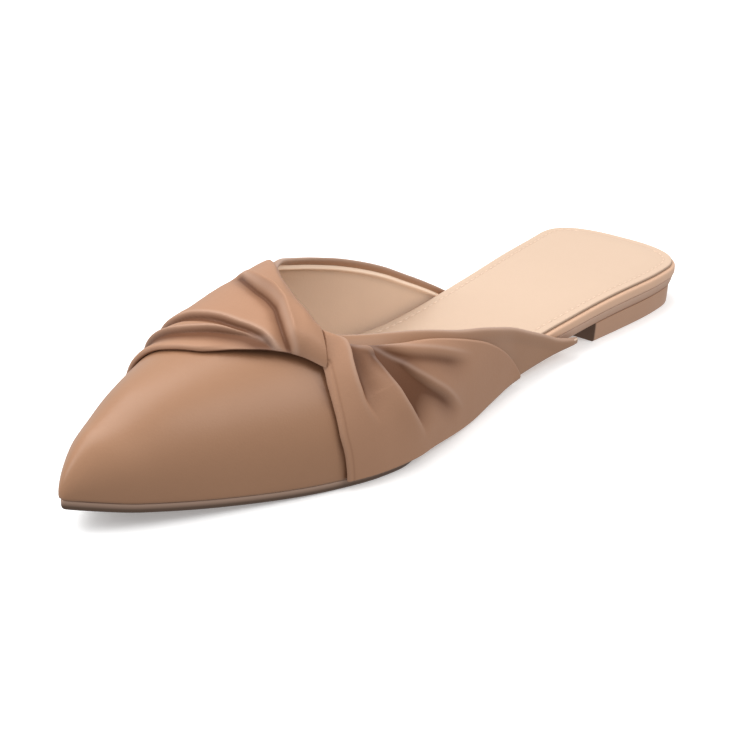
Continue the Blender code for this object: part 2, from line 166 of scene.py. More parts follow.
# Folds of the bands. Each follows a line of (step, across) places, across running from the band's front
# edge (0) to its rear edge (1). One side of the line lies on top: it ends in a soft crest, beyond which
# the leather drops into a trough. Heights, depths and widths are in millimetres, and so are the lengths over
# which a fold grows from the band's edge and fades out.
Fold = namedtuple("Fold", "top height depth crest drop trough grow fade line")
LATERAL_FOLDS = [
    Fold("front", 0.70, 2.20, 3.0, 1.3, 4.6, 0.0, 20.0,
         [(0.09, 1.00), (0.152, 0.925), (0.198, 0.758), (0.237, 0.597), (0.302, 0.435), (0.367, 0.344),
          (0.485, 0.258), (0.72, 0.20)]),
    Fold("front", 1.20, 2.50, 4.4, 1.4, 5.6, 0.0, 16.0,
         [(0.19, 1.00), (0.272, 0.932), (0.350, 0.762), (0.396, 0.687), (0.493, 0.570), (0.600, 0.486),
          (0.690, 0.421), (0.783, 0.375), (0.94, 0.33)]),
    Fold("rear", 1.00, 1.30, 6.0, 2.8, 3.6, 7.0, 16.0,
         [(0.215, 1.00), (0.285, 0.955), (0.389, 0.825), (0.516, 0.729), (0.632, 0.656), (0.732, 0.616),
          (0.835, 0.606), (0.94, 0.61)]),
    Fold("rear", 0.40, 0.90, 2.0, 3.2, 5.0, 7.0, 16.0,
         [(0.26, 1.00), (0.34, 0.97), (0.45, 0.93), (0.56, 0.90), (0.70, 0.89), (0.80, 0.90)]),
]
MEDIAL_FOLDS = [
    Fold("rear", 0.70, 1.20, 2.4, 1.1, 2.2, 0.0, 12.0,
         [(0.105, 0.00), (0.117, 0.075), (0.136, 0.188), (0.169, 0.416), (0.219, 0.625), (0.299, 0.700),
          (0.378, 0.715), (0.478, 0.735), (0.560, 0.76), (0.70, 0.79)]),
    Fold("rear", 0.90, 2.00, 6.0, 1.0, 1.8, 0.0, 12.0,
         [(0.155, 0.00), (0.183, 0.098), (0.225, 0.207), (0.299, 0.283), (0.407, 0.322), (0.556, 0.309),
          (0.703, 0.285), (0.97, 0.34)]),
    Fold("rear", 0.90, 2.60, 1.6, 1.0, 3.4, 0.0, 12.0,
         [(0.165, 0.00), (0.195, 0.098), (0.279, 0.188), (0.371, 0.212), (0.478, 0.173), (0.60, 0.15),
          (0.92, 0.20)]),
]

# How far a fold's line runs out over the band's edge
FOLD_RUN_OUT = 8 * MM
# How many times finer the upper face of a half band is than its lower face
BAND_COARSENESS = 4
# How far the strip over the knot runs down behind the outer half band, as a share of the way round the arch
KNOT_OVERLAP = 0.006
# Folds that drop over more than this many millimetres count as gentle
STEEP_DROP = 1.4
# Painted shade of a trough for each millimetre of its depth, width of the line of painted shade at its foot,
# and the painted highlight along a crest
TROUGH_TONE = 0.45
FOOT_LINE = 0.55 * MM
CREST_PLACE, CREST_WIDTH, CREST_TONE = 0.4 * MM, 0.6 * MM, 0.7
# Powers of a half band's cross-section where it is flat and where it is as round as a tube
FLAT_POWER = 0.7
TUBE_POWER = 2.4
# The groove behind a turned edge, with painted shade in it
GROOVE_WIDTH, GROOVE_DEPTH, GROOVE_TONE = 0.35 * MM, 0.10 * MM, 0.20
# A band's edges: share of the wall left at a sewn-down edge, and radii of a sewn-down and a gathered edge
EDGE_WALL = 0.45
EDGE_RADII = (0.8 * MM, 4.5 * MM)
START_RADIUS = 0.7 * MM
END_RADIUS = 0.5 * MM
# The band is thicker than its edges by at least this much, and thins towards that over a soft bend
OVER_EDGE = 0.3 * MM
THIN_BEND = 0.5 * MM
# Edges that turn more than this stay sharp
SHARP_ANGLE = math.radians(50)

# How each finish looks. dark and light are the tones of the shade painted into its hollows and of the
# highlight painted on its crests: the name of a colour, or the share by which the finish's own colour is
# darkened or lightened. dark is also the dark side of its mottling.
Finish = namedtuple(
    "Finish", "colour dark light roughness spread coat pores creases bump mottling hollow crest")
FINISHES = {
    "sole_edge": Finish("outsole", 0.8, 0.2, 0.50, 0.16, 0.0, 900.0, 120.0, 0.25, 0.25, 1.0, 0.25),
    "heel_block": Finish("heel", 0.8, 0.2, 0.50, 0.16, 0.1, 900.0, 120.0, 0.25, 0.25, 1.0, 0.25),
    "insole_wrap": Finish("insole", 0.55, 0.25, 0.46, 0.16, 0.1, 1500.0, 260.0, 0.35, 0.25, 0.0, 0.0),
    "sock_leather": Finish("sock", "burnish", 0.3, 0.62, 0.14, 0.0, 1900.0, 320.0, 0.30, 0.05, 0.16, 0.0),
    "sock_thread": Finish("thread", 0.5, 0.3, 0.6, 0.1, 0.0, 5000.0, 900.0, 0.2, 0.05, 0.0, 0.0),
    "tack_thread": Finish("thread", 0.5, 0.3, 0.6, 0.1, 0.0, 5000.0, 900.0, 0.2, 0.05, 0.0, 0.0),
    "vamp_leather": Finish("vamp", "burnish", 0.25, 0.40, 0.12, 0.22, 1500.0, 300.0, 0.22, 0.16, 0.60, 0.35),
    "lining_leather": Finish("lining", "burnish", "lip", 0.60, 0.14, 0.0, 1700.0, 240.0, 0.30, 0.12, 0.14,
                             0.85),
    "band_leather": Finish("band", "burnish", 0.25, 0.50, 0.14, 0.0, 1500.0, 300.0, 0.30, 0.14, 0.92, 0.30),
}
COAT_ROUGHNESS = 0.34
SPECULAR = 0.18
GRAIN_DEPTH = 0.12 * MM


def new_sum(default, name, description, unit="LENGTH", low=0.0, high=1.0):
    """A number that a user may set, in metres unless another unit is named."""
    return FloatProperty(name=name, description=description, default=default, min=low, max=high,
                         precision=5, unit=unit)


def new_colour(default, name, description):
    return FloatVectorProperty(name=name, description=description, default=default, size=3,
                               min=0.0, max=1.0, subtype="COLOR")


class MuleForm(PropertyGroup):
    """Sizes of the foot form and of the layers under it."""

    length: new_sum(0.265, "Length", "Length of the shoe, heel to toe")
    ball_width: new_sum(0.077, "Ball width", "Width over the ball of the foot")
    instep_height: new_sum(0.050, "Instep height", "Height that the arch's crests are shares of")
    heel_height: new_sum(0.0066, "Heel height", "Height of the heel block")
    toe_spring: new_sum(0.0075, "Toe spring", "Rise of the sole at the tip")
    outsole: new_sum(0.0025, "Outsole", "Thickness of the outsole in the forepart")
    outsole_seat: new_sum(0.0034, "Outsole at the seat", "Thickness of the outsole over the heel")
    insole: new_sum(0.0022, "Insole", "Thickness of the insole in the forepart")
    insole_seat: new_sum(0.0036, "Insole at the seat", "Thickness of the insole over the heel")
    sock: new_sum(0.0008, "Sock", "Thickness of the sock lining")
    sock_inset: new_sum(0.0012, "Sock inset", "Distance from the insole's edge to the sock's edge")
    wall: new_sum(0.0016, "Upper wall", "Thickness of leather and lining together")
    gap: new_sum(0.0003, "Gap", "Clearance between neighbouring pieces")
    lasting_gap: new_sum(0.0004, "Lasting gap", "Clearance between the upper and the insole's edge")
    edge_set_back: new_sum(0.0004, "Edge set back", "How far the outsole's edge lies inside the outline")
    heel_set_back: new_sum(0.0016, "Heel set back", "How far the heel's top lies inside the outline")
    heel_taper: new_sum(0.0003, "Heel taper", "How far the heel draws in towards the floor")
    seat_bevel: new_sum(0.0010, "Seat bevel", "How far the outsole's edge draws in towards the heel")
    tuck: new_sum(0.0026, "Upper tuck", "How far the upper wraps down past the outsole's top in the waist")
    quarter_tuck: new_sum(0.0040, "Quarter tuck", "The same at the end of the quarters")
    side_bulge: new_sum(0.0016, "Side bulge", "How far the sides of the arch stand out over the outline")
    crest_shift: new_sum(-0.0020, "Crest shift", "Sideways shift of the crest at the instep", low=-0.02)


class MuleFinish(PropertyGroup):
    """Sizes of the small forms that the finish adds."""

    leather: new_sum(0.00115, "Leather", "Thickness of the upper's leather")
    rim_drop: new_sum(0.0024, "Rim", "Width of the leather that shows inside the topline")
    rim_roll: new_sum(0.00045, "Rim roll", "How far the rolled topline stands proud")
    lip: new_sum(0.00055, "Lip", "How far the lining's edge bead stands proud")
    band: new_sum(0.0014, "Band wall", "Thickness of the bands' leather")
    band_puff: new_sum(0.0012, "Band puff", "How far the gathered bands stand up")
    knot_swell: new_sum(0.0042, "Knot swell", "Extra height of the twist")
    knot_float: new_sum(0.0022, "Knot float", "How far the edges of the twist float above the vamp")
    gather_swell: new_sum(0.0008, "Gather swell", "Extra height of the outer half band at the twist")
    thinnest: new_sum(0.0006, "Thinnest place", "Least thickness of the bands in their deepest folds")
    turned_edge: new_sum(0.0017, "Turned edge", "Width of the outer half band's turned front edge")
    stitch_pitch: new_sum(0.0030, "Stitch pitch", "Distance from stitch to stitch round the sock")
    stitch_inset: new_sum(0.0030, "Stitch inset", "Distance from the sock's edge to its stitches")
    station_steps: IntProperty(name="Steps along", description="Stations along the upper", default=176,
                               min=40, max=400)
    band_steps: IntProperty(name="Band steps", description="Rows and columns of a half band, in fours",
                            default=72, min=10, max=76)


class MuleColours(PropertyGroup):
    """Colours of the finishes, as linear values."""

    vamp: new_colour((0.345, 0.185, 0.105), "Vamp", "Smooth leather of vamp and quarters")
    band: new_colour((0.390, 0.214, 0.130), "Bands", "Softer leather of the twisted band")
    lining: new_colour((0.780, 0.590, 0.445), "Lining", "Leather inside the upper")
    # The lip colour is the painted highlight on the lining's bead
    lip: new_colour((0.900, 0.700, 0.540), "Lip", "Edge bead of the lining")
    sock: new_colour((0.590, 0.440, 0.330), "Sock", "Pale leather that the foot rests on")
    insole: new_colour((0.640, 0.410, 0.280), "Insole edge", "Leather wrapped round the insole")
    outsole: new_colour((0.500, 0.310, 0.215), "Outsole", "Moulded sheet of the outsole")
    heel: new_colour((0.460, 0.268, 0.175), "Heel", "Painted block of the heel")
    thread: new_colour((0.680, 0.510, 0.390), "Thread", "Thread of the sock and of the quarters' ends")
    # Colour of the shade painted into folds, creases, gaps and along the sock's cut edge, and the dark side
    # of the mottling
    burnish: new_colour((0.105, 0.037, 0.014), "Shade_and_mottle", "Darker tone in folds and along cut edges")


class MuleStudio(PropertyGroup):
    """Floor, lights and camera."""

    lens: FloatProperty(name="Lens", description="Focal length on a 36 mm sensor", default=78.4, min=10.0,
                        max=300.0, unit="CAMERA")
    key: new_sum(24.0, "Key light", "Power of the large light overhead", "POWER", high=500.0)
    side: new_sum(4.0, "Side light", "Power of the light beyond the toe", "POWER", high=500.0)
    back: new_sum(6.0, "Back light", "Power of the light above the outer side", "POWER", high=500.0)
    sky: FloatProperty(name="Surroundings", description="Strength of the even light all round",
                       default=0.64, min=0.0, max=10.0)
    floor: new_colour((0.85, 0.85, 0.85), "Floor", "Pale floor")
    floor_glow: FloatProperty(name="Floor glow", description="Light that the floor gives from below",
                              default=0.26, min=0.0, max=10.0)


class Curve:
    """A smooth curve through rows of (place, value) that never swings past them."""

    def __init__(self, places, values):
        self.places = np.array(places, dtype=float)
        self.values = np.array(values, dtype=float)
        self.steps = np.diff(self.places)
        rises = np.diff(self.values) / self.steps
        self.slopes = np.concatenate([rises[:1], np.zeros(len(rises) - 1), rises[-1:]])
        for i, (left, right) in enumerate(zip(rises, rises[1:])):
            if left * right > 0:
                self.slopes[i + 1] = 2 * left * right / (left + right)

    def __call__(self, place):
        place = np.clip(np.asarray(place, dtype=float), self.places[0], self.places[-1])
        i = np.clip(np.searchsorted(self.places, place, side="right") - 1, 0, len(self.steps) - 1)
        t = (place - self.places[i]) / self.steps[i]
        a, b = self.values[i], self.values[i + 1]
        smooth = t * t * (3 - 2 * t)
        swing = t * (1 - t) * ((1 - t) * self.slopes[i] - t * self.slopes[i + 1])
        return a + (b - a) * smooth + self.steps[i] * swing


def columns(table):
    """Every column of a table but the first, as curves over the first."""
    names = table[0]._fields
    places = [row[0] for row in table]
    return {name: Curve(places, [getattr(row, name) for row in table]) for name in names[1:]}


def ease(value, start, end):
    """0 before start, 1 after end and smooth between; end may lie before start."""
    t = np.clip((value - start) / (end - start), 0.0, 1.0)
    return t * t * (3 - 2 * t)


def mix(a, b, t):
    return a + (b - a) * t


def rounding(distance, radius):
    """0 at an edge, 1 from a radius away, along a quarter circle."""
    t = np.clip(distance / radius, 0.0, 1.0)
    return np.sqrt(1 - (1 - t) ** 2)


def bell(distance, width):
    """1 at no distance, falling away smoothly over a width."""
    return np.exp(-(distance / width) ** 2)


def crowded(where, count, start=0.0, end=1.0):
    """Places from start to end, closer together at the start, at the end or at both."""
    u = np.linspace(0.0, 1.0, count)
    shares = {"start": 1 - np.cos(0.5 * np.pi * u), "end": np.sin(0.5 * np.pi * u),
              "both": 0.5 - 0.5 * np.cos(np.pi * u)}
    return mix(start, end, shares[where])


def unit(vectors):
    return vectors / np.linalg.norm(vectors, axis=-1, keepdims=True)


def run_lengths(path):
    """How far along a path of points each of them lies."""
    return np.concatenate([[0.0], np.cumsum(np.linalg.norm(np.diff(path, axis=0), axis=-1))])


class FootForm:
    """The form that the upper is pulled over, with the heights of the layers below it."""

    def __init__(self, form):
        self.form = form
        self.outline = columns(OUTLINE)
        self.arch = columns(ARCH)

    def y_at(self, along):
        return self.form.length * (0.5 - along)

    def along_at(self, points):
        return 0.5 - points[..., 1] / self.form.length

    def shank(self, along):
        return 1 - ease(along, SEAT_END, SHANK_END)

    def spring(self, along):
        return self.form.toe_spring * (np.maximum(along - SPRING_START, 0.0) / (1 - SPRING_START)) ** 2

    def outsole_bottom(self, along):
        return (self.form.heel_height + self.form.gap) * self.shank(along) + self.spring(along)

    def outsole_top(self, along):
        thickness = mix(self.form.outsole, self.form.outsole_seat, self.shank(along))
        return self.outsole_bottom(along) + thickness

    def insole_bottom(self, along):
        return self.outsole_top(along) + self.form.gap

    def insole_top(self, along):
        return self.insole_bottom(along) + mix(self.form.insole, self.form.insole_seat, self.shank(along))

    def sock_bottom(self, along):
        return self.insole_top(along) + self.form.gap

    def sock_top(self, along):
        return self.sock_bottom(along) + self.form.sock

    def floor(self, along):
        return np.zeros_like(along)

    def upper_edge(self, along):
        """Lower edge of the upper: on the outsole in front, wrapped down past it in the waist."""
        tuck = mix(self.form.tuck, self.form.quarter_tuck, ease(along, WAIST_END, QUARTER_END))
        return self.outsole_top(along) + self.form.gap - tuck * ease(along, TUCK_START, TUCK_FULL)

    def outline_x(self, along, toe_end=1.0):
        """Lateral and medial x of the outline, rounded off at the heel and at the toe."""
        lateral = self.outline["lateral"](along) * self.form.ball_width
        medial = self.outline["medial"](along) * self.form.ball_width
        back = np.clip((HEEL_ROUND - along) / HEEL_ROUND, 0.0, 1.0)
        back = (1 - back ** HEEL_SQUARENESS) ** (1 / HEEL_SQUARENESS)
        half = (lateral + medial) / 2 * back * rounding(toe_end - along, TOE_ROUND)
        middle = (lateral - medial) / 2
        return middle + half, middle - half

    def outline_points(self, along, side, inset, toe_end=1.0):
        """Points of the outline moved inwards by inset, square to the outline."""
        step = 0.0004
        low = np.maximum(along - step, 0.0)
        high = np.minimum(along + step, toe_end)
        tangent = unit(np.stack([self.outline_x(high, toe_end)[side] - self.outline_x(low, toe_end)[side],
                                 self.y_at(high) - self.y_at(low)], -1))
        inward = np.stack([-tangent[..., 1], tangent[..., 0]], -1) * (1 if side else -1)
        place = np.stack([self.outline_x(along, toe_end)[side], self.y_at(along)], -1)
        return place + inward * np.asarray(inset)[..., None]

    def forepart(self, along):
        return ease(along, WAIST_START, FOREPART_START)

    def insole_inset(self, along):
        return (self.form.wall + self.form.lasting_gap) * self.forepart(along)

    def outsole_inset(self, along):
        under_upper = self.insole_inset(along) + self.form.edge_set_back
        return mix(under_upper, self.form.edge_set_back, ease(along, *SOLE_EDGE_OUT))

    def point(self, along, around):
        """Outer face of the upper; around runs from 0 at the lateral edge to 1 at the medial edge."""
        along, around = np.broadcast_arrays(np.asarray(along, float), np.asarray(around, float))
        stand_off = (self.form.wall + self.form.lasting_gap) * (1 - self.forepart(along))
        lateral, medial = self.outline_x(along)
        lateral = lateral + stand_off
        medial = medial - stand_off
        nose, front = rounding(1 - along, NOSE_ROUND), rounding(1 - along, TOE_ROUND)
        crest_x = (lateral + medial) / 2 + self.form.crest_shift * np.minimum((1 - along) / 0.4, 1.0)
        low = self.upper_edge(along)
        high = self.arch["crest"](along) * self.form.instep_height + self.spring(along)
        power = 2 / self.arch["squareness"](along)
        c = np.cos(np.pi * around)
        s = np.maximum(np.sin(np.pi * around), 0.0)
        reach = np.where(c >= 0, lateral - crest_x, crest_x - medial)
        out = reach * np.abs(c) ** power + self.form.side_bulge * front * 2 * s * np.abs(c) ** 3
        x = crest_x + np.copysign(out, c)
        return np.stack([x, self.y_at(along), low + (high - low) * nose * s ** power], -1)

    def normal(self, along, around):
        a0, a1 = np.maximum(along - 0.0006, 0.0), np.minimum(along + 0.0006, 0.9999)
        r0, r1 = np.maximum(around - 0.004, 0.0), np.minimum(around + 0.004, 1.0)
        lengthwise = self.point(a1, around) - self.point(a0, around)
        crosswise = self.point(along, r1) - self.point(along, r0)
        return unit(np.cross(crosswise, lengthwise))

    def lifted(self, along, around, lift):
        """Points at a distance outside the upper's outer face, or inside it where lift is negative."""
        return self.point(along, around) + self.normal(along, around) * np.asarray(lift)[..., None]


def distance_to_path(points, path):
    """Distance from each point to a path of points, and how far along the path the nearest place is."""
    flat = points.reshape(-1, points.shape[-1])
    starts, runs = path[:-1], np.diff(path, axis=0)
    squares = np.maximum((runs ** 2).sum(-1), 1e-14)
    reached = np.concatenate([[0.0], np.cumsum(np.sqrt(squares))])
    best = np.full(len(flat), np.inf)
    place = np.zeros(len(flat))
    for i, (start, run, square) in enumerate(zip(starts, runs, squares)):
        t = np.clip((flat - start) @ run / square, 0.0, 1.0)
        gap = np.linalg.norm(flat - start - t[:, None] * run, axis=-1)
        nearer = gap < best
        best[nearer] = gap[nearer]
        place[nearer] = (reached[i] + t * math.sqrt(square))[nearer]
    return best.reshape(points.shape[:-1]), place.reshape(points.shape[:-1])


# Meshes


def grid_quads(index):
    """Quads over a grid of point numbers."""
    return np.stack([index[:-1, :-1], index[:-1, 1:], index[1:, 1:], index[1:, :-1]], -1).reshape(-1, 4)


def point_numbers(grid, first=0):
    """The numbers of a grid of points."""
    rows, cols = grid.shape[:2]
    return np.arange(rows * cols).reshape(rows, cols) + first


def rim_quads(loop, size):
    """Quads between a closed loop of point numbers and the same loop on the other face."""
    following = np.roll(loop, -1)
    return np.stack([following, loop, loop + size, following + size], -1)


def border(index):
    """The outer ring of a grid of point numbers."""
    return np.concatenate([index[0], index[1:, -1], index[-1, -2::-1], index[-2:0:-1, 0]])


def wall_between(outer, inner, face, loop):
    """Points and faces of a closed wall: the quads of its outer face, the same inside, and its rim."""
    points = np.concatenate([outer.reshape(-1, 3), inner.reshape(-1, 3)])
    size = len(points) // 2
    return points, np.concatenate([face, face[:, ::-1] + size, rim_quads(loop, size)])


def shell(outer, inner):
    """Points and faces of a closed wall between two grids of the same size."""
    index = point_numbers(outer)
    return wall_between(outer, inner, grid_quads(index), border(index))


def tube(rings):
    """Points and quads of a solid through rings of points, with quads across both of its ends."""
    index = point_numbers(rings)
    half = index.shape[1] // 2
    ends = [grid_quads(np.stack([row[:half], row[half:][::-1]])) for row in (index[0, ::-1], index[-1])]
    sides = grid_quads(np.concatenate([index, index[:, :1]], 1))
    return rings.reshape(-1, 3), np.concatenate([sides, *ends])


def lined_sheet(outer, inner, coarseness):
    """A closed sheet whose lower face has only every so many-th row and column of its upper face."""
    index = point_numbers(outer)
    low = inner[::coarseness, ::coarseness]
    low_index = point_numbers(low, index.size)
    fine, coarse = border(index), border(low_index)
    faces = grid_quads(index).tolist() + grid_quads(low_index)[:, ::-1].tolist()
    for i, corner in enumerate(coarse):
        following = coarse[(i + 1) % len(coarse)]
        run = [fine[(i * coarseness + j) % len(fine)] for j in range(coarseness + 1)]
        faces.append([int(k) for k in (*run[::-1], corner, following)])
    return np.concatenate([outer.reshape(-1, 3), low.reshape(-1, 3)]), faces


def inside_out(points, faces):
    """Whether a closed mesh has its faces pointing in."""
    fans = np.array([(face[0], face[i], face[i + 1]) for face in faces for i in range(1, len(face) - 1)])
    a, b, c = (points[fans[:, i]] for i in range(3))
    return np.einsum("ij,ij->i", a, np.cross(b, c)).sum() < 0


def softened(grid, passes):
    """A grid of heights, each pass averaged with its neighbours."""
    for _ in range(passes):
        for axis in (0, 1):
            ends = [(1, 1) if i == axis else (0, 0) for i in range(2)]
            wide = np.moveaxis(np.pad(grid, ends, mode="edge"), axis, 0)
            grid = np.moveaxis(0.25 * wide[:-2] + 0.5 * wide[1:-1] + 0.25 * wide[2:], 0, axis)
    return grid


def add_piece(name, points, faces, material, slot, replaces=(), marks=None):
    """A mesh object that rides on the shoe's one body, with its marks as point attributes."""
    if isinstance(faces, np.ndarray):
        faces = faces.tolist()
    faces = [list(dict.fromkeys(face)) for face in faces]
    faces = [face for face in faces if len(face) > 2]
    if inside_out(points, faces):
        faces = [face[::-1] for face in faces]
    mesh = bpy.data.meshes.new(name)
    mesh.from_pydata(points.tolist(), [], faces)
    mesh.update()
    mesh.shade_smooth()
    mesh.set_sharp_from_angle(angle=SHARP_ANGLE)
    for label, values in (marks or {}).items():
        attribute = mesh.attributes.new(label, "FLOAT", "POINT")
        attribute.data.foreach_set("value", np.asarray(values, dtype=np.float32).ravel())
    mesh.materials.append(material)
    piece = bpy.data.objects.new(name, mesh)
    bpy.context.scene.collection.objects.link(piece)
    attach(piece, "root")
    if replaces:
        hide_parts(*replaces)
    return piece


def both_faces(**marks):
    """Marks of a wall's outer grid, given to its inner grid too."""
    return {label: np.tile(values.ravel(), 2) for label, values in marks.items()}


# Shader groups and materials


def new_group(name, inputs, outputs):
    """A shader node group with its inputs and outputs; gives the group and its two end nodes."""
    group = bpy.data.node_groups.new(name, "ShaderNodeTree")
    for label, kind, value in inputs:
        socket = group.interface.new_socket(name=label, in_out="INPUT", socket_type=kind)
        socket.default_value = value
    for label, kind in outputs:
        group.interface.new_socket(name=label, in_out="OUTPUT", socket_type=kind)
    return group, group.nodes.new("NodeGroupInput"), group.nodes.new("NodeGroupOutput")


def feed(tree, socket, value):
    """Link a node's output to a socket, or set the socket's own value."""
    if isinstance(value, bpy.types.NodeSocket):
        tree.links.new(value, socket)
    else:
        socket.default_value = value


def feed_node(tree, node, **sockets):
    """Feed a node's sockets, each named by its label with underscores for spaces."""
    for key, value in sockets.items():
        feed(tree, node.inputs[key.replace("_", " ")], value)


def add_node(tree, kind, settings=None, **sockets):
    """A node with its settings and what feeds its sockets."""
    node = tree.nodes.new(kind)
    for key, value in (settings or {}).items():
        setattr(node, key, value)
    feed_node(tree, node, **sockets)
    return node


def arithmetic(tree, operation, *values):
    node = add_node(tree, "ShaderNodeMath", {"operation": operation})
    for socket, value in zip(node.inputs, values):
        feed(tree, socket, value)
    return node.outputs[0]


def blend_colours(tree, factor, a, b):
    node = add_node(tree, "ShaderNodeMix", {"data_type": "RGBA"})
    sockets = {socket.identifier: socket for socket in (*node.inputs, *node.outputs)}
    for label, value in (("Factor_Float", factor), ("A_Color", a), ("B_Color", b)):
        feed(tree, sockets[label], value)
    return sockets["Result_Color"]


def grain_group():
    """Fine pores and soft creases of leather: a height for bump and a mask for its tone."""
    name = "leather_grain"
    if name in bpy.data.node_groups:
        return bpy.data.node_groups[name]
    group, start, end = new_group(
        name,
        [("Pore Scale", "NodeSocketFloat", 1500.0), ("Crease Scale", "NodeSocketFloat", 260.0)],
        [("Height", "NodeSocketFloat"), ("Mottle", "NodeSocketFloat")],
    )
    place = add_node(group, "ShaderNodeTexCoord").outputs["Object"]
    pores = add_node(group, "ShaderNodeTexVoronoi", {"feature": "F1"}, Vector=place,
                     Scale=start.outputs["Pore Scale"], Randomness=1.0)
    creases = add_node(group, "ShaderNodeTexNoise", Vector=place, Scale=start.outputs["Crease Scale"],
                       Detail=6.0, Roughness=0.62)
    cloud = add_node(group, "ShaderNodeTexNoise", Vector=place, Scale=34.0, Detail=3.0, Roughness=0.5)
    parts = {"Height": ((pores.outputs["Distance"], 0.55), (creases.outputs[0], 0.9)),
             "Mottle": ((cloud.outputs[0], 0.7), (creases.outputs[0], 0.3))}
    for label, shares in parts.items():
        total = arithmetic(group, "ADD", *(arithmetic(group, "MULTIPLY", *share) for share in shares))
        feed(group, end.inputs[label], total)
    return group


def tone_group():
    """Colour of a finish: mottled, with painted shade in its hollows and a painted highlight on its crests.
    """
    name = "leather_tone"
    if name in bpy.data.node_groups:
        return bpy.data.node_groups[name]
    group, start, end = new_group(
        name,
        [("Base", "NodeSocketColor", (0.5, 0.3, 0.2, 1.0)),
         ("Dark", "NodeSocketColor", (0.1, 0.05, 0.03, 1.0)),
         ("Light", "NodeSocketColor", (0.6, 0.4, 0.3, 1.0)), ("Mottle", "NodeSocketFloat", 0.5),
         ("Mottling", "NodeSocketFloat", 0.10), ("Hollow", "NodeSocketFloat", 0.0),
         ("Crest", "NodeSocketFloat", 0.0)],
        [("Colour", "NodeSocketColor")],
    )
    values = start.outputs
    cloudy = arithmetic(group, "SUBTRACT", values["Mottle"], 0.5)
    cloudy = arithmetic(group, "MULTIPLY", cloudy, values["Mottling"])
    cloudy = arithmetic(group, "ADD", cloudy, 0.12)
    cloudy = add_node(group, "ShaderNodeClamp", Value=cloudy, Min=0.0, Max=1.0)
    mottled = blend_colours(group, cloudy.outputs[0], values["Base"], values["Dark"])
    # Painted shade pulls the colour towards the dark tone, and a painted highlight pulls it towards the light
    # tone
    hollow = blend_colours(group, values["Hollow"], mottled, values["Dark"])
    crest = blend_colours(group, values["Crest"], hollow, values["Light"])
    group.links.new(crest, end.inputs["Colour"])
    return group


def attribute_value(tree, label, factor):
    node = add_node(tree, "ShaderNodeAttribute", {"attribute_type": "GEOMETRY", "attribute_name": label})
    return arithmetic(tree, "MULTIPLY", node.outputs["Fac"], factor)


def toned(colours, base, tone, goal):
    """The colour that a finish's tone names, or its own colour moved towards a goal by a share."""
    if isinstance(tone, str):
        return getattr(colours, tone)
    return tuple(mix(value, goal, tone) for value in base)


def finish_material(name, colours):
    """A leather or moulded finish with grain, mottling, painted shade in its hollows and a painted highlight
    on its crests.
    """
    look = FINISHES[name]
    base = tuple(getattr(colours, look.colour))
    dark, light = toned(colours, base, look.dark, 0.0), toned(colours, base, look.light, 1.0)
    material = bpy.data.materials.new(name)
    material.use_nodes = True
    tree = material.node_tree
    grain = add_node(tree, "ShaderNodeGroup", {"node_tree": grain_group()}, Pore_Scale=look.pores,
                     Crease_Scale=look.creases)
    tone = add_node(tree, "ShaderNodeGroup", {"node_tree": tone_group()}, Base=(*base, 1.0),
                    Dark=(*dark, 1.0), Light=(*light, 1.0), Mottle=grain.outputs["Mottle"],
                    Mottling=look.mottling, Hollow=attribute_value(tree, "hollow", look.hollow),
                    Crest=attribute_value(tree, "crest", look.crest))
    rough = arithmetic(tree, "ADD", arithmetic(tree, "MULTIPLY", grain.outputs["Mottle"], look.spread),
                       look.roughness - look.spread / 2)
    bump = add_node(tree, "ShaderNodeBump", Strength=look.bump, Distance=GRAIN_DEPTH,
                    Height=grain.outputs["Height"])
    feed_node(tree, tree.nodes["Principled BSDF"], Base_Color=tone.outputs["Colour"], Roughness=rough,
              Normal=bump.outputs["Normal"], Coat_Weight=look.coat, Coat_Roughness=COAT_ROUGHNESS,
              Specular_IOR_Level=SPECULAR)
    return material


def shoe_settings(context):
    """The foot form, with the sizes and the colours of the finish."""
    scene = context.scene
    return FootForm(scene.mule_form), scene.mule_finish, scene.mule_colours


# Sole, heel, insole and sock


# Radii of each layer's lower and upper edge
OUTSOLE_RADII = (1.0 * MM, 0.35 * MM)
HEEL_RADII = (0.7 * MM, 0.25 * MM)
INSOLE_RADII = (1.1 * MM, 1.0 * MM)
# Where the outsole's edge turns dark along the shoe, and where it turns paler up the edge
SOLE_DARKENS = (0.30, 0.55)
SOLE_PALES = (0.60, 0.85)
# The sock's sewn channel with the shade painted into it, the soft rise inside it, and its rounded edge, with
# the dark band along its cut edge: partly the edge's own dark colour, partly painted shade of the gap beside
# the insole
CHANNEL_WIDTH = 0.55 * MM
CHANNEL_DEPTH = 0.16 * MM
CHANNEL_TONE = 0.35
PAD_RISE = 0.35 * MM
PAD_RUN = 6 * MM
SOCK_EDGE_ROUND = 0.8 * MM
SOCK_EDGE_DROP = 0.55
SOCK_UNDER_LIFT = 0.1 * MM
SOCK_RIM = (0.05 * MM, 0.35 * MM)
CUT_EDGE_SHADE = 2.0
# A stitch: how much of the pitch it covers, its width and height, how deep it lies, and its blunt tips
STITCH_COVER = 0.62
STITCH_WIDTH = 0.55 * MM
STITCH_HEIGHT = 0.36 * MM
STITCH_SUNK = 0.10 * MM
STITCH_TIP = 0.12


def slab(foot, stations, bottom, top, inset, rows, toe_end=1.0, bevel=0.0):
    """A layer of the bottom: a ring of points for each station.

    rows go up the side face, as (share of the height, extra inset in metres), and bevel is how far the
    foot of the side face lies inside its head over the heel.
    """
    rings = []
    for side, order in ((0, rows), (1, rows[::-1])):
        for height, extra in order:
            drawn_in = inset(stations) + extra + bevel * foot.shank(stations) * (1 - height)
            flat = foot.outline_points(stations, side, drawn_in, toe_end)
            own = foot.along_at(flat)
            rings.append(np.concatenate([flat, mix(bottom(own), top(own), height)[:, None]], -1))
    return tube(np.stack(rings, 1))


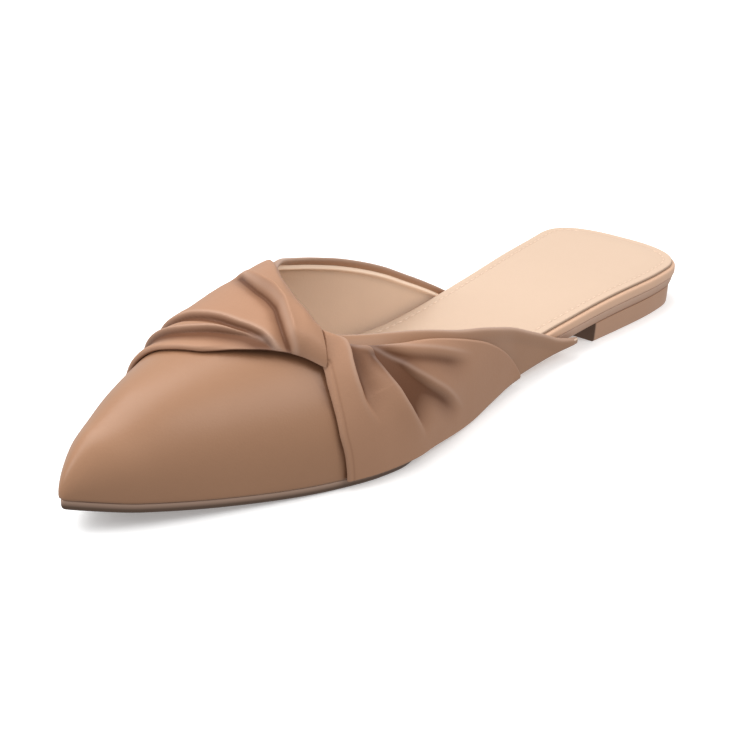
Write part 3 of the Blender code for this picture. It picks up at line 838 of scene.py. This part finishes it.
def rounded_rows(height, low_radius, high_radius, taper=0.0, steps=5):
    """Rows up a side face with rounded edges; with a taper they draw in towards the bottom."""

    def quarter(radius):
        turns = [0.5 * math.pi * i / steps for i in range(steps + 1)]
        return [((1 - math.cos(turn)) * radius / height, (1 - math.sin(turn)) * radius) for turn in turns]

    rows = quarter(low_radius) + [(1 - rise, inset) for rise, inset in quarter(high_radius)[::-1]]
    return [(share, inset + taper * (1 - share)) for share, inset in rows]


def sock_sides(foot, stations, inset):
    """Points along both sides of the sock's seat, at a distance inside the insole's edge."""
    return [foot.outline_points(stations, side, foot.insole_inset(stations) + inset, SOCK_TOE)
            for side in (0, 1)]


def sock_grid(foot, finish):
    """Both faces of the sock with its sewn channel and a soft rise inside it, and where it is darker: painted
    shade in the channel, a dark cut edge with painted shade of the gap beside it, and painted shade over the
    lower face.
    """
    sides = sock_sides(foot, crowded("both", 300, BACK_TIP, SOCK_TOE - LAST_STEP), foot.form.sock_inset)
    across = mix(np.linspace(0.0, 1.0, 90), crowded("both", 90), 0.75)
    flat = mix(sides[0][:, None, :], sides[1][:, None, :], across[None, :, None])
    edge = np.concatenate([sides[0][::-1], sides[1]])
    inside, _ = distance_to_path(flat, np.concatenate([edge, edge[:1]])[::2])
    own = foot.along_at(flat)
    channel = bell(inside - finish.stitch_inset, CHANNEL_WIDTH)
    rise = PAD_RISE * ease(inside, finish.stitch_inset, finish.stitch_inset + PAD_RUN)
    edge_drop = foot.form.sock * SOCK_EDGE_DROP * (1 - rounding(inside, SOCK_EDGE_ROUND))
    top = foot.sock_top(own) + (rise - CHANNEL_DEPTH * channel - edge_drop)
    bottom = foot.sock_bottom(own) + SOCK_UNDER_LIFT * (1 - rounding(inside, SOCK_EDGE_ROUND / 2))
    # Painted shade in the channel; the cut edge darkened partly as its own colour and partly as painted shade
    # of the gap; the lower face painted dark all over as shade
    rim = 1 - ease(inside, *SOCK_RIM)
    dark = [np.maximum(CHANNEL_TONE * channel, CUT_EDGE_SHADE * rim).ravel(),
            np.full(inside.size, CUT_EDGE_SHADE)]
    return (np.concatenate([flat, top[..., None]], -1), np.concatenate([flat, bottom[..., None]], -1),
            np.concatenate(dark))


def stitch_shape(length, width, height, steps=8, rings=5):
    """Points and quads of one stitch: a small rounded bar along x."""
    t = np.linspace(0.0, 1.0, rings)[:, None]
    angle = 2 * np.pi * np.arange(steps) / steps
    swell = np.maximum(np.sin(np.pi * t), STITCH_TIP) ** 0.5
    sizes = ((t - 0.5) * length, np.cos(angle) * width / 2 * swell, np.sin(angle) * height / 2 * swell)
    return tube(np.stack(np.broadcast_arrays(*sizes), -1))


def laid_along(shape, places, directions, ups):
    """Copies of one small shape, laid at places and turned along their directions."""
    base, quads = shape
    points, faces = [], []
    for i, (place, direction, up) in enumerate(zip(places, directions, ups)):
        side = np.cross(up, direction)
        points.append(place + base @ np.stack([direction, side, up]))
        faces.append(quads + i * len(base))
    return np.concatenate(points), np.concatenate(faces)


def even_places(path, pitch):
    """Places one pitch apart along a path, with the path's direction at each."""
    reached = run_lengths(path)
    wanted = np.arange(pitch / 2, reached[-1], pitch)
    before, places, after = (np.stack([np.interp(wanted + shift, reached, column) for column in path.T], -1)
                             for shift in (-pitch / 4, 0.0, pitch / 4))
    return places, unit(after - before)


class MULE_OT_sole(Operator):
    """Make the outsole and the heel"""

    bl_idname = "mule.sole"
    bl_label = "Sole and heel"

    def execute(self, context):
        foot, _, colours = shoe_settings(context)
        form = foot.form
        points, faces = slab(foot, crowded("both", 220, BACK_TIP, SHARP_TOE), foot.outsole_bottom,
                             foot.insole_bottom, foot.outsole_inset,
                             rounded_rows(form.outsole, *OUTSOLE_RADII), bevel=form.seat_bevel)
        own = foot.along_at(points)
        low = foot.outsole_bottom(own)
        share = (points[:, 2] - low) / (foot.insole_bottom(own) - low)
        # Darker towards the toe and less so up the edge, with a painted highlight along the edge's top
        dark = ease(own, *SOLE_DARKENS) * (1 - 0.5 * ease(share, *SOLE_PALES))
        add_piece("outsole_sheet", points, faces, finish_material("sole_edge", colours), "outsole",
                  ["outsole"], {"hollow": dark, "crest": ease(share, 0.5, 0.9)})
        points, faces = slab(foot, crowded("start", 120, BACK_TIP, HEEL_BREAST), foot.floor,
                             foot.outsole_bottom, lambda along: np.full_like(along, form.heel_set_back),
                             rounded_rows(form.heel_height, *HEEL_RADII, form.heel_taper))
        own = foot.along_at(points)
        # Painted shade over the heel's breast, which stands in the shade under the arch
        add_piece("heel_block", points, faces, finish_material("heel_block", colours), "heel", ["heel"],
                  {"hollow": ease(own, HEEL_BREAST - 0.002, HEEL_BREAST)})
        return {"FINISHED"}


class MULE_OT_insole(Operator):
    """Make the wrapped insole, the sock and its stitches"""

    bl_idname = "mule.insole"
    bl_label = "Insole and sock"

    def execute(self, context):
        foot, finish, colours = shoe_settings(context)
        rows = rounded_rows(foot.form.insole_seat, *INSOLE_RADII)
        points, faces = slab(foot, crowded("both", 220, BACK_TIP, INSOLE_TOE - LAST_STEP), foot.insole_bottom,
                             foot.insole_top, foot.insole_inset, rows, INSOLE_TOE)
        add_piece("insole_wrapped", points, faces, finish_material("insole_wrap", colours), "insole_wrap",
                  ["insole"])
        top, bottom, dark = sock_grid(foot, finish)
        add_piece("sock_sheet", *shell(top, bottom), finish_material("sock_leather", colours), "sock_lining",
                  ["sock"], {"hollow": dark})
        self.add_stitches(foot, finish, colours)
        return {"FINISHED"}

    def add_stitches(self, foot, finish, colours):
        inset = foot.form.sock_inset + finish.stitch_inset
        sides = sock_sides(foot, crowded("both", 300, *STITCHED), inset)
        path = np.concatenate([sides[0][::-1], sides[1]])
        own = foot.along_at(path)
        path = np.concatenate([path, (foot.sock_top(own) - STITCH_SUNK)[:, None]], -1)
        places, directions = even_places(path, finish.stitch_pitch)
        ups = unit(np.cross(directions, np.cross(np.array([0.0, 0.0, 1.0]), directions)))
        shape = stitch_shape(finish.stitch_pitch * STITCH_COVER, STITCH_WIDTH, STITCH_HEIGHT)
        add_piece("sock_stitches", *laid_along(shape, places, directions, ups),
                  finish_material("sock_thread", colours), "sock_lining")


# Upper and lining


RIM_PLACES = np.array([0.0, 0.08, 0.18, 0.32, 0.5, 0.75, 1.05, 1.4, 1.8, 2.3, 2.9, 3.6, 4.5]) * MM
LOW_PLACES = np.array([0.0, 0.1, 0.25, 0.5, 0.9]) * MM
# Distances from the topline between which the rolled leather rises and falls
ROLL_RISES = (0.0, 1.0 * MM)
ROLL_FALLS = (1.6 * MM, 5.0 * MM)
# Width and strength of the lines of painted shade on the vamp: at its lower edge, under the bands and at the
# knot
LOW_LINE, LOW_TONE = 0.8 * MM, 0.25
BAND_LINE = 0.9 * MM
KNOT_LINE, KNOT_TONE = 2.0 * MM, 0.8
# The lining: its gap to the leather, where its bead lies, and where the line of painted shade beside the bead
# lies
LINING_GAP = 0.05 * MM
LINING_START = 0.08 * MM
BEAD_PLACE, BEAD_WIDTH = 0.75 * MM, 0.62 * MM
BEAD_LINE, BEAD_LINE_WIDTH = 2.1 * MM, 0.8 * MM


def behind_throat(along):
    """1 where the upper is open on top, fading to 0 at the throat."""
    return 1 - ease(along, RIM_FADE_START, THROAT_FRONT)


def wall_stations(count):
    """Stations of the upper, closer together round the throat and at the tip."""
    n = count // 4
    return np.concatenate([np.linspace(QUARTER_END, THROAT_BACK, n + 1)[:-1],
                           crowded("end", n, THROAT_BACK, THROAT_FRONT),
                           np.linspace(THROAT_FRONT, 1 - TOE_ROUND, n + 1)[1:-1],
                           crowded("end", n, 1 - TOE_ROUND, UPPER_TIP)])


def side_places(foot, along, edge, top, drop, body_steps):
    """Shares round one side of the arch at one station, from its lower edge up to the topline.

    edge and top are the shares of both, and drop is how far below the topline a lining ends.
    """
    shares = mix(edge, top, np.linspace(0.0, 1.0, 90) ** 1.6)
    reached = run_lengths(foot.point(np.full(90, along), shares))
    total = max(reached[-1] - drop, 0.35 * MM)
    scale = min(1.0, total / (7 * MM))
    rim = total - RIM_PLACES[::-1] * scale
    low = LOW_PLACES * scale
    body = np.linspace(low[-1], rim[0], body_steps + 2)[1:-1]
    return np.interp(np.concatenate([low, body, rim]), reached, shares)


def wall_grid(foot, count, body_steps, drop):
    """Stations and shares of a wall of vamp and quarters, its skin, and the row where the throat closes.

    In front of that row the two middle columns pair up.
    """
    stations = wall_stations(count)
    top = columns(TOPLINE)
    closed = stations >= THROAT_FRONT - 1e-6
    rows = []
    for along, joined in zip(stations, closed):
        seam = mix(float(top["lateral"](THROAT_FRONT)), 0.5, float(ease(along, THROAT_FRONT, 1.0)))
        lower = 0.0 if joined else drop * float(behind_throat(along))
        lateral, medial = (side_places(foot, along, edge, seam if joined else float(top[side](along)), lower,
                                       body_steps) for edge, side in ((0.0, "lateral"), (1.0, "medial")))
        rows.append(np.concatenate([lateral, medial[::-1]]))
    around = np.array(rows)
    along = np.broadcast_to(stations[:, None], around.shape)
    return along, around, foot.point(along, around), int(np.argmax(closed))


def wall_mesh(outer, inner, throat):
    """Points and faces of a hollow wall whose two sides join in front of the throat row."""
    index = point_numbers(outer)
    n = index.shape[1] // 2
    index[throat:, n] = index[throat:, n - 1]
    ring = np.concatenate([index[-1, :n], index[-1, n + 1:]])
    cap = grid_quads(np.stack([ring[:n], ring[::-1][:n]]))
    face = np.concatenate([grid_quads(index[:, :n]), grid_quads(index[:, n:]), cap])
    loop = np.concatenate([index[0, :n], index[1:throat + 1, n - 1], index[throat - 1::-1, n],
                           index[0, n + 1:], index[1:, -1], index[-1:, 0], index[-2:0:-1, 0]])
    return wall_between(outer, inner, face, loop)


def topline_path(foot):
    """The topline in space, from the lateral quarter's end round the throat to the medial one's."""
    top = columns(TOPLINE)
    along = np.concatenate([np.linspace(QUARTER_END, THROAT_BACK, 90)[:-1],
                            crowded("end", 60, THROAT_BACK, THROAT_FRONT)])
    lateral, medial = (foot.point(along, top[side](along)) for side in ("lateral", "medial"))
    return np.concatenate([lateral, medial[::-1][1:]])


def lower_paths(foot):
    along = np.linspace(QUARTER_END, UPPER_TIP, 160)
    return [foot.point(along, np.full_like(along, edge)) for edge in (0.0, 1.0)]


class MULE_OT_upper(Operator):
    """Make the leather of vamp and quarters, its lining with the lip, and the tacks"""

    bl_idname = "mule.upper"
    bl_label = "Upper and lining"

    def execute(self, context):
        foot, finish, colours = shoe_settings(context)
        self.add_leather(foot, finish, colours)
        self.add_lining(foot, finish, colours)
        self.add_tacks(foot, colours)
        return {"FINISHED"}

    def add_tacks(self, foot, colours):
        """A short thread that holds the end of each quarter."""
        along = QUARTER_END + np.array([0.007, 0.007])
        around = np.array([0.0035, 0.9935])
        places = foot.lifted(along, around, 0.15 * MM)
        ahead = unit(foot.point(along - 0.004, around) - foot.point(along + 0.004, around))
        shape = stitch_shape(2.6 * MM, 0.8 * MM, 0.6 * MM)
        add_piece("quarter_tacks", *laid_along(shape, places, ahead, foot.normal(along, around)),
                  finish_material("tack_thread", colours), "upper_leather")

    def add_leather(self, foot, finish, colours):
        along, around, skin, throat = wall_grid(foot, finish.station_steps, 26, 0.0)
        from_top, _ = distance_to_path(skin, topline_path(foot))
        from_low = np.minimum(*(distance_to_path(skin, path[::3])[0] for path in lower_paths(foot)))
        from_end = (along - QUARTER_END) * foot.form.length
        half = finish.leather / 2
        body = rounding(np.minimum(np.minimum(from_top, from_low), from_end), half * 1.3)
        roll = ease(from_top, *ROLL_RISES) * (1 - ease(from_top, *ROLL_FALLS))
        roll = finish.rim_roll * roll * behind_throat(along)
        points, faces = wall_mesh(foot.lifted(along, around, half * (body - 1) + roll),
                                  foot.lifted(along, around, -half * (1 + body)), throat)
        # Painted shade along the lower edge, under the bands' front edges and, wider, under the knot
        hollow = LOW_TONE * bell(from_low, LOW_LINE)
        for table in (LATERAL_BAND, MEDIAL_BAND):
            edge = columns(table)
            steps = np.linspace(0.0, 1.0, 100)
            path = foot.point(edge["front_along"](steps), edge["front_round"](steps))
            hollow += bell(distance_to_path(skin, path)[0], BAND_LINE)
            hollow += KNOT_TONE * bell(distance_to_path(skin, path[:30])[0], KNOT_LINE)
        # The vamp gets that painted shade, and a painted highlight along its rolled topline
        add_piece("upper_leather", points, faces, finish_material("vamp_leather", colours), "upper_leather",
                  ["upper"], both_faces(hollow=np.minimum(hollow, 1.0), crest=bell(from_top, 0.9 * MM)))

    def add_lining(self, foot, finish, colours):
        along, around, skin, throat = wall_grid(foot, finish.station_steps, 22, finish.rim_drop)
        from_top, _ = distance_to_path(skin, topline_path(foot))
        inside = np.maximum(from_top - finish.rim_drop, 0.0)
        outside = -finish.leather - LINING_GAP
        depth = foot.form.wall - finish.leather - LINING_GAP
        open_here = behind_throat(along)
        bead = finish.lip * bell(inside - BEAD_PLACE, BEAD_WIDTH) * open_here
        body = rounding(inside, 0.45 * MM) * open_here + (1 - open_here)
        points, faces = wall_mesh(foot.lifted(along, around, np.full(around.shape, outside)),
                                  foot.lifted(along, around, outside - LINING_START - (depth + bead) * body),
                                  throat)
        # Painted shade in the line beside the bead, and a painted highlight in the lip colour on the bead
        add_piece("upper_lining", points, faces, finish_material("lining_leather", colours), "upper_leather",
                  (), both_faces(hollow=bell(inside - BEAD_LINE, BEAD_LINE_WIDTH) * open_here,
                                 crest=bell(inside - 0.7 * MM, 0.7 * MM) * open_here))


# The two half bands


def fold_height(signed, fold):
    """Height of a fold at a signed distance from its line, positive on the side that lies on top."""
    crest, drop, trough = fold.crest * MM, fold.drop * MM, fold.trough * MM
    over = fold.height * np.exp(-(np.maximum(signed, 0.0) / crest) ** 2)
    t = ease(-signed, 0.0, drop)
    beyond = np.maximum(-signed - drop, 0.0)
    under = mix(fold.height, -fold.depth * np.exp(-(beyond / trough) ** 2), t)
    return np.where(signed >= 0, over, under) * MM


class Band:
    """A half band: its places on the foot form and the heights of its folds."""

    def __init__(self, foot, finish, table, folds, overlap):
        self.foot, self.finish, self.folds = foot, finish, folds
        self.curves = columns(table)
        self.overlap = overlap
        count = BAND_COARSENESS * finish.band_steps + 1
        u = np.linspace(0.0, 1.0, count)
        self.across = mix(u, crowded("both", count), 0.6)[None, :]
        self.step = mix(u, crowded("start", count), 0.45)[:, None]
        self.along, self.around = self.places(self.step, self.across)
        self.skin = foot.point(self.along, self.around)

    def places(self, step, across):
        curves = self.curves
        tuck = self.overlap * (1 - ease(step, 0.0, 0.08))
        along = mix(curves["front_along"](step), curves["rear_along"](step), across)
        around = mix(curves["front_round"](step), curves["rear_round"](step), across) - tuck
        return along, around

    def line(self, step, across):
        """Points of the foot form along a line of places in the band."""
        return self.foot.point(*self.places(step, across))

    def away_from(self, step, across):
        return distance_to_path(self.skin, self.line(step, across))[0]

    def from_line(self, fold):
        """Signed distance from a fold's line, positive on the side on top, and what is left of the fold."""
        curve = Curve(*np.array(fold.line).T)
        fine = np.linspace(curve.places[0], curve.places[-1], 60)
        path = self.line(fine, curve(fine))
        path = np.concatenate([[path[0] + unit(path[0] - path[3]) * FOLD_RUN_OUT], path])
        gap, reached = distance_to_path(self.skin, path)
        side = 1.0 if fold.top == "rear" else -1.0
        fade = ease(run_lengths(path)[-1] - reached, 0.0, fold.fade * MM)
        if fold.grow:
            fade = fade * ease(reached, FOLD_RUN_OUT, FOLD_RUN_OUT + fold.grow * MM)
        return gap * np.sign(self.across - curve(self.step)) * side, fade

    def relief(self):
        """Summed heights of the folds, the shade painted into their troughs, and the highlight painted on
        their crests.

        The painted shade draws a thin dark line at the foot of a steep fold, and a wider, fainter one at a
        gentle fold.
        """
        total, trough_shade, crest_highlight = (np.zeros(self.along.shape) for _ in range(3))
        for fold in self.folds:
            signed, fade = self.from_line(fold)
            height = fold_height(signed, fold) * fade
            gentle = max(1.0, fold.drop / STEEP_DROP)
            total += height
            # Painted shade in each trough and along the foot of each fold, and a painted highlight along each
            # crest
            trough_shade += TROUGH_TONE * np.maximum(-height, 0.0) / MM
            trough_shade += bell(signed + 0.9 * fold.drop * MM, FOOT_LINE * gentle) * fade ** 2 / gentle
            crest_highlight += CREST_TONE * bell(signed - CREST_PLACE, CREST_WIDTH) * fade
        return softened(total, 3), np.clip(softened(trough_shade, 2), 0.0, 1.0), softened(crest_highlight, 2)

    def forms(self, swell, puff, round_share, gathered, turned=0.0):
        """Outer and inner faces, with the painted shade of the folds and the painted highlight on crests and
        edges.

        round_share is 1 where the half band is as round as a tube across its width, and gathered is 1
        where its edges float over the vamp. turned is the width of a turned front edge.
        """
        finish = self.finish
        flat = np.sin(np.pi * np.clip(self.across, 0.0, 1.0)) ** FLAT_POWER
        tube = (1 - np.abs(2 * self.across - 1) ** TUBE_POWER) ** (1 / TUBE_POWER)
        crown = mix(flat, tube, round_share)
        relief, trough_shade, crest_highlight = self.relief()
        edges = np.linspace(0.0, 1.0, 120)
        from_front = self.away_from(edges, 0.0)
        if turned:
            groove = bell(from_front - turned, GROOVE_WIDTH)
            relief = relief - GROOVE_DEPTH * groove
            # Painted shade in the groove
            trough_shade = np.clip(trough_shade + GROOVE_TONE * groove, 0.0, 1.0)
        full = finish.band + crown * (finish.band_puff * puff + swell) + relief * np.minimum(crown * 3.0, 1.0)
        nose = mix(EDGE_WALL * finish.band, finish.knot_float, gathered)
        least = np.maximum(finish.thinnest, nose + OVER_EDGE)
        spare = full - least
        full = least + 0.5 * (spare + np.sqrt(spare ** 2 + THIN_BEND ** 2))
        side = np.minimum(from_front, self.away_from(edges, 1.0))
        start = self.away_from(0.0, np.linspace(0, 1, 40))
        end = self.away_from(1.0, np.linspace(0, 1, 60))
        radius = mix(*EDGE_RADII, gathered)
        body = np.minimum(rounding(side, radius), rounding(start, START_RADIUS))
        body = np.minimum(body, rounding(end, END_RADIUS))
        under = np.minimum(rounding(side, radius * 1.2), rounding(start, END_RADIUS))
        lifts = [nose + (full - nose) * body, nose * (1 - under)]
        outer, inner = (self.foot.lifted(self.along, self.around, lift + self.foot.form.gap * 0.5)
                        for lift in lifts)
        # Painted highlight along the band's edges and on its crests
        return outer, inner, trough_shade, np.clip(0.3 * bell(side, 0.6 * MM) + crest_highlight, 0.0, 1.0)


class MULE_OT_bands(Operator):
    """Make the two folded half bands and their twist"""

    bl_idname = "mule.bands"
    bl_label = "Twisted band"

    def execute(self, context):
        foot, finish, colours = shoe_settings(context)
        material = finish_material("band_leather", colours)
        band = Band(foot, finish, LATERAL_BAND, LATERAL_FOLDS, 0.0)
        forms = band.forms(swell=finish.gather_swell * (1 - ease(band.step, 0.10, 0.60)),
                           puff=1 - ease(band.step, 0.5, 1.0),
                           round_share=0.3,
                           gathered=0.4 * (1 - ease(band.step, 0.02, 0.20)),
                           turned=finish.turned_edge)
        self.add_band("band_outer_side", forms, material, "band_lateral")
        band = Band(foot, finish, MEDIAL_BAND, MEDIAL_FOLDS, KNOT_OVERLAP)
        # The strip behind the first fold stands over the knot, and the rest swells less
        strip, _ = band.from_line(MEDIAL_FOLDS[0])
        rest = 0.4 * (1 - ease(band.step, 0.12, 0.32))
        swell = ease(band.step, -0.12, 0.10) * (1 - ease(band.step, 0.22, 0.70))
        swell = finish.knot_swell * swell * mix(rest, 1.0, ease(strip, -0.6 * MM, 1.6 * MM))
        forms = band.forms(swell=swell,
                           puff=mix(1.0, 0.6, ease(band.step, 0.20, 0.45)) * (1 - ease(band.step, 0.6, 1.0)),
                           round_share=1 - 0.5 * ease(band.step, 0.4, 1.0),
                           gathered=1 - ease(band.step, 0.14, 0.40))
        self.add_band("band_inner_side", forms, material, "band_medial")
        return {"FINISHED"}

    def add_band(self, name, forms, material, node):
        outer, inner, trough_shade, rim = forms
        points, faces = lined_sheet(outer, inner, BAND_COARSENESS)
        marks = {}
        # Painted shade and painted highlight, for the fine upper face and the coarse lower face
        for label, values in (("hollow", trough_shade), ("crest", rim)):
            low = values[::BAND_COARSENESS, ::BAND_COARSENESS]
            marks[label] = np.concatenate([values.ravel(), low.ravel()])
        add_piece(name, points, faces, material, "band_leather", [node], marks)


# Studio

CAMERA_PLACE = Vector((0.27601, -0.35827, 0.19788))
CAMERA_RIGHT = Vector((0.71930, 0.69466, -0.00737))
CAMERA_DOWN = Vector((0.21325, -0.23089, -0.94932))
CAMERA_FORWARD = Vector((-0.66116, 0.68128, -0.31421))
# Where the middle of the shoe lies in the view, to the right and down, as tangents
VIEW_RIGHT = 0.0863
VIEW_DOWN = 0.0854


# Lights: place, target and width in metres
Light = namedtuple("Light", "place target width")
LIGHTS = {
    "key": Light((-0.50, -0.25, 1.42), (0.0, 0.0, 0.0), 1.4),
    "side": Light((-0.45, -0.95, 0.60), (0.0, -0.05, 0.02), 0.5),
    "back": Light((0.85, 0.20, 0.90), (0.0, 0.0, 0.03), 0.7),
}
FLOOR_HALF = 12.0
WHITE = (1.0, 1.0, 1.0, 1.0)


def stand(name, data):
    """An object of the stage."""
    item = bpy.data.objects.new(name, data)
    bpy.context.scene.collection.objects.link(item)
    return item


class MULE_OT_studio(Operator):
    """Make the floor, the lights and the camera"""

    bl_idname = "mule.studio"
    bl_label = "Floor, lights and camera"

    def execute(self, context):
        studio = context.scene.mule_studio
        self.add_floor(studio)
        self.add_lights(studio)
        self.add_camera(studio)
        return {"FINISHED"}

    def add_floor(self, studio):
        mesh = bpy.data.meshes.new("floor")
        corners = [(x * FLOOR_HALF, y * FLOOR_HALF, 0.0) for x, y in ((-1, -1), (1, -1), (1, 1), (-1, 1))]
        mesh.from_pydata(corners, [], [(0, 1, 2, 3)])
        material = bpy.data.materials.new("pale_floor")
        material.use_nodes = True
        tree = material.node_tree
        feed_node(tree, tree.nodes["Principled BSDF"], Base_Color=(*studio.floor, 1.0), Roughness=0.6,
                  Specular_IOR_Level=0.2, Emission_Color=WHITE, Emission_Strength=studio.floor_glow)
        mesh.materials.append(material)
        floor = stand("floor", mesh)
        floor.visible_diffuse = False
        floor.visible_glossy = False

    def add_lights(self, studio):
        for name, light in LIGHTS.items():
            data = bpy.data.lights.new(f"{name}_light", "AREA")
            data.shape = "RECTANGLE"
            data.size = data.size_y = light.width
            data.energy = getattr(studio, name)
            lamp = stand(f"{name}_light", data)
            lamp.location = light.place
            direction = Vector(light.target) - Vector(light.place)
            lamp.rotation_euler = direction.to_track_quat("-Z", "Y").to_euler()
        world = bpy.data.worlds.new("surroundings")
        world.use_nodes = True
        tree = world.node_tree
        feed_node(tree, tree.nodes["Background"], Color=WHITE, Strength=studio.sky)
        bpy.context.scene.world = world
        bpy.context.scene.view_settings.view_transform = "Standard"

    def add_camera(self, studio):
        data = bpy.data.cameras.new("camera")
        data.sensor_width = 36.0
        data.lens = studio.lens
        data.clip_start, data.clip_end = 0.01, 60.0
        forward = (CAMERA_FORWARD + CAMERA_RIGHT * VIEW_RIGHT + CAMERA_DOWN * VIEW_DOWN).normalized()
        right = (CAMERA_RIGHT - forward * CAMERA_RIGHT.dot(forward)).normalized()
        up = right.cross(forward)
        turn = Matrix((right, up, -forward)).transposed()
        camera = stand("camera", data)
        camera.matrix_world = Matrix.Translation(CAMERA_PLACE) @ turn.to_4x4()
        bpy.context.scene.camera = camera


class MULE_PT_panel(Panel):
    """The steps that make the mule, in their order"""

    bl_idname = "MULE_PT_panel"
    bl_label = "Mule"
    bl_space_type = "VIEW_3D"
    bl_region_type = "UI"
    bl_category = "Mule"

    def draw(self, context):
        for step in STEPS:
            self.layout.operator(step.bl_idname)
        for group in (context.scene.mule_finish, context.scene.mule_colours, context.scene.mule_studio):
            box = self.layout.box()
            for name in group.__annotations__:
                box.prop(group, name)


STEPS = [MULE_OT_studio, MULE_OT_sole, MULE_OT_insole, MULE_OT_upper, MULE_OT_bands]
CLASSES = [MuleForm, MuleFinish, MuleColours, MuleStudio, *STEPS, MULE_PT_panel]
GROUPS = {"mule_form": MuleForm, "mule_finish": MuleFinish, "mule_colours": MuleColours,
          "mule_studio": MuleStudio}


def register():
    for item in CLASSES:
        bpy.utils.register_class(item)
    for name, kind in GROUPS.items():
        setattr(bpy.types.Scene, name, PointerProperty(type=kind))


def unregister():
    for name in GROUPS:
        delattr(bpy.types.Scene, name)
    for item in reversed(CLASSES):
        bpy.utils.unregister_class(item)


def main():
    register()
    bpy.ops.mule.studio()
    bpy.ops.mule.sole()
    bpy.ops.mule.insole()
    bpy.ops.mule.upper()
    bpy.ops.mule.bands()


if __name__ == "__main__":
    main()
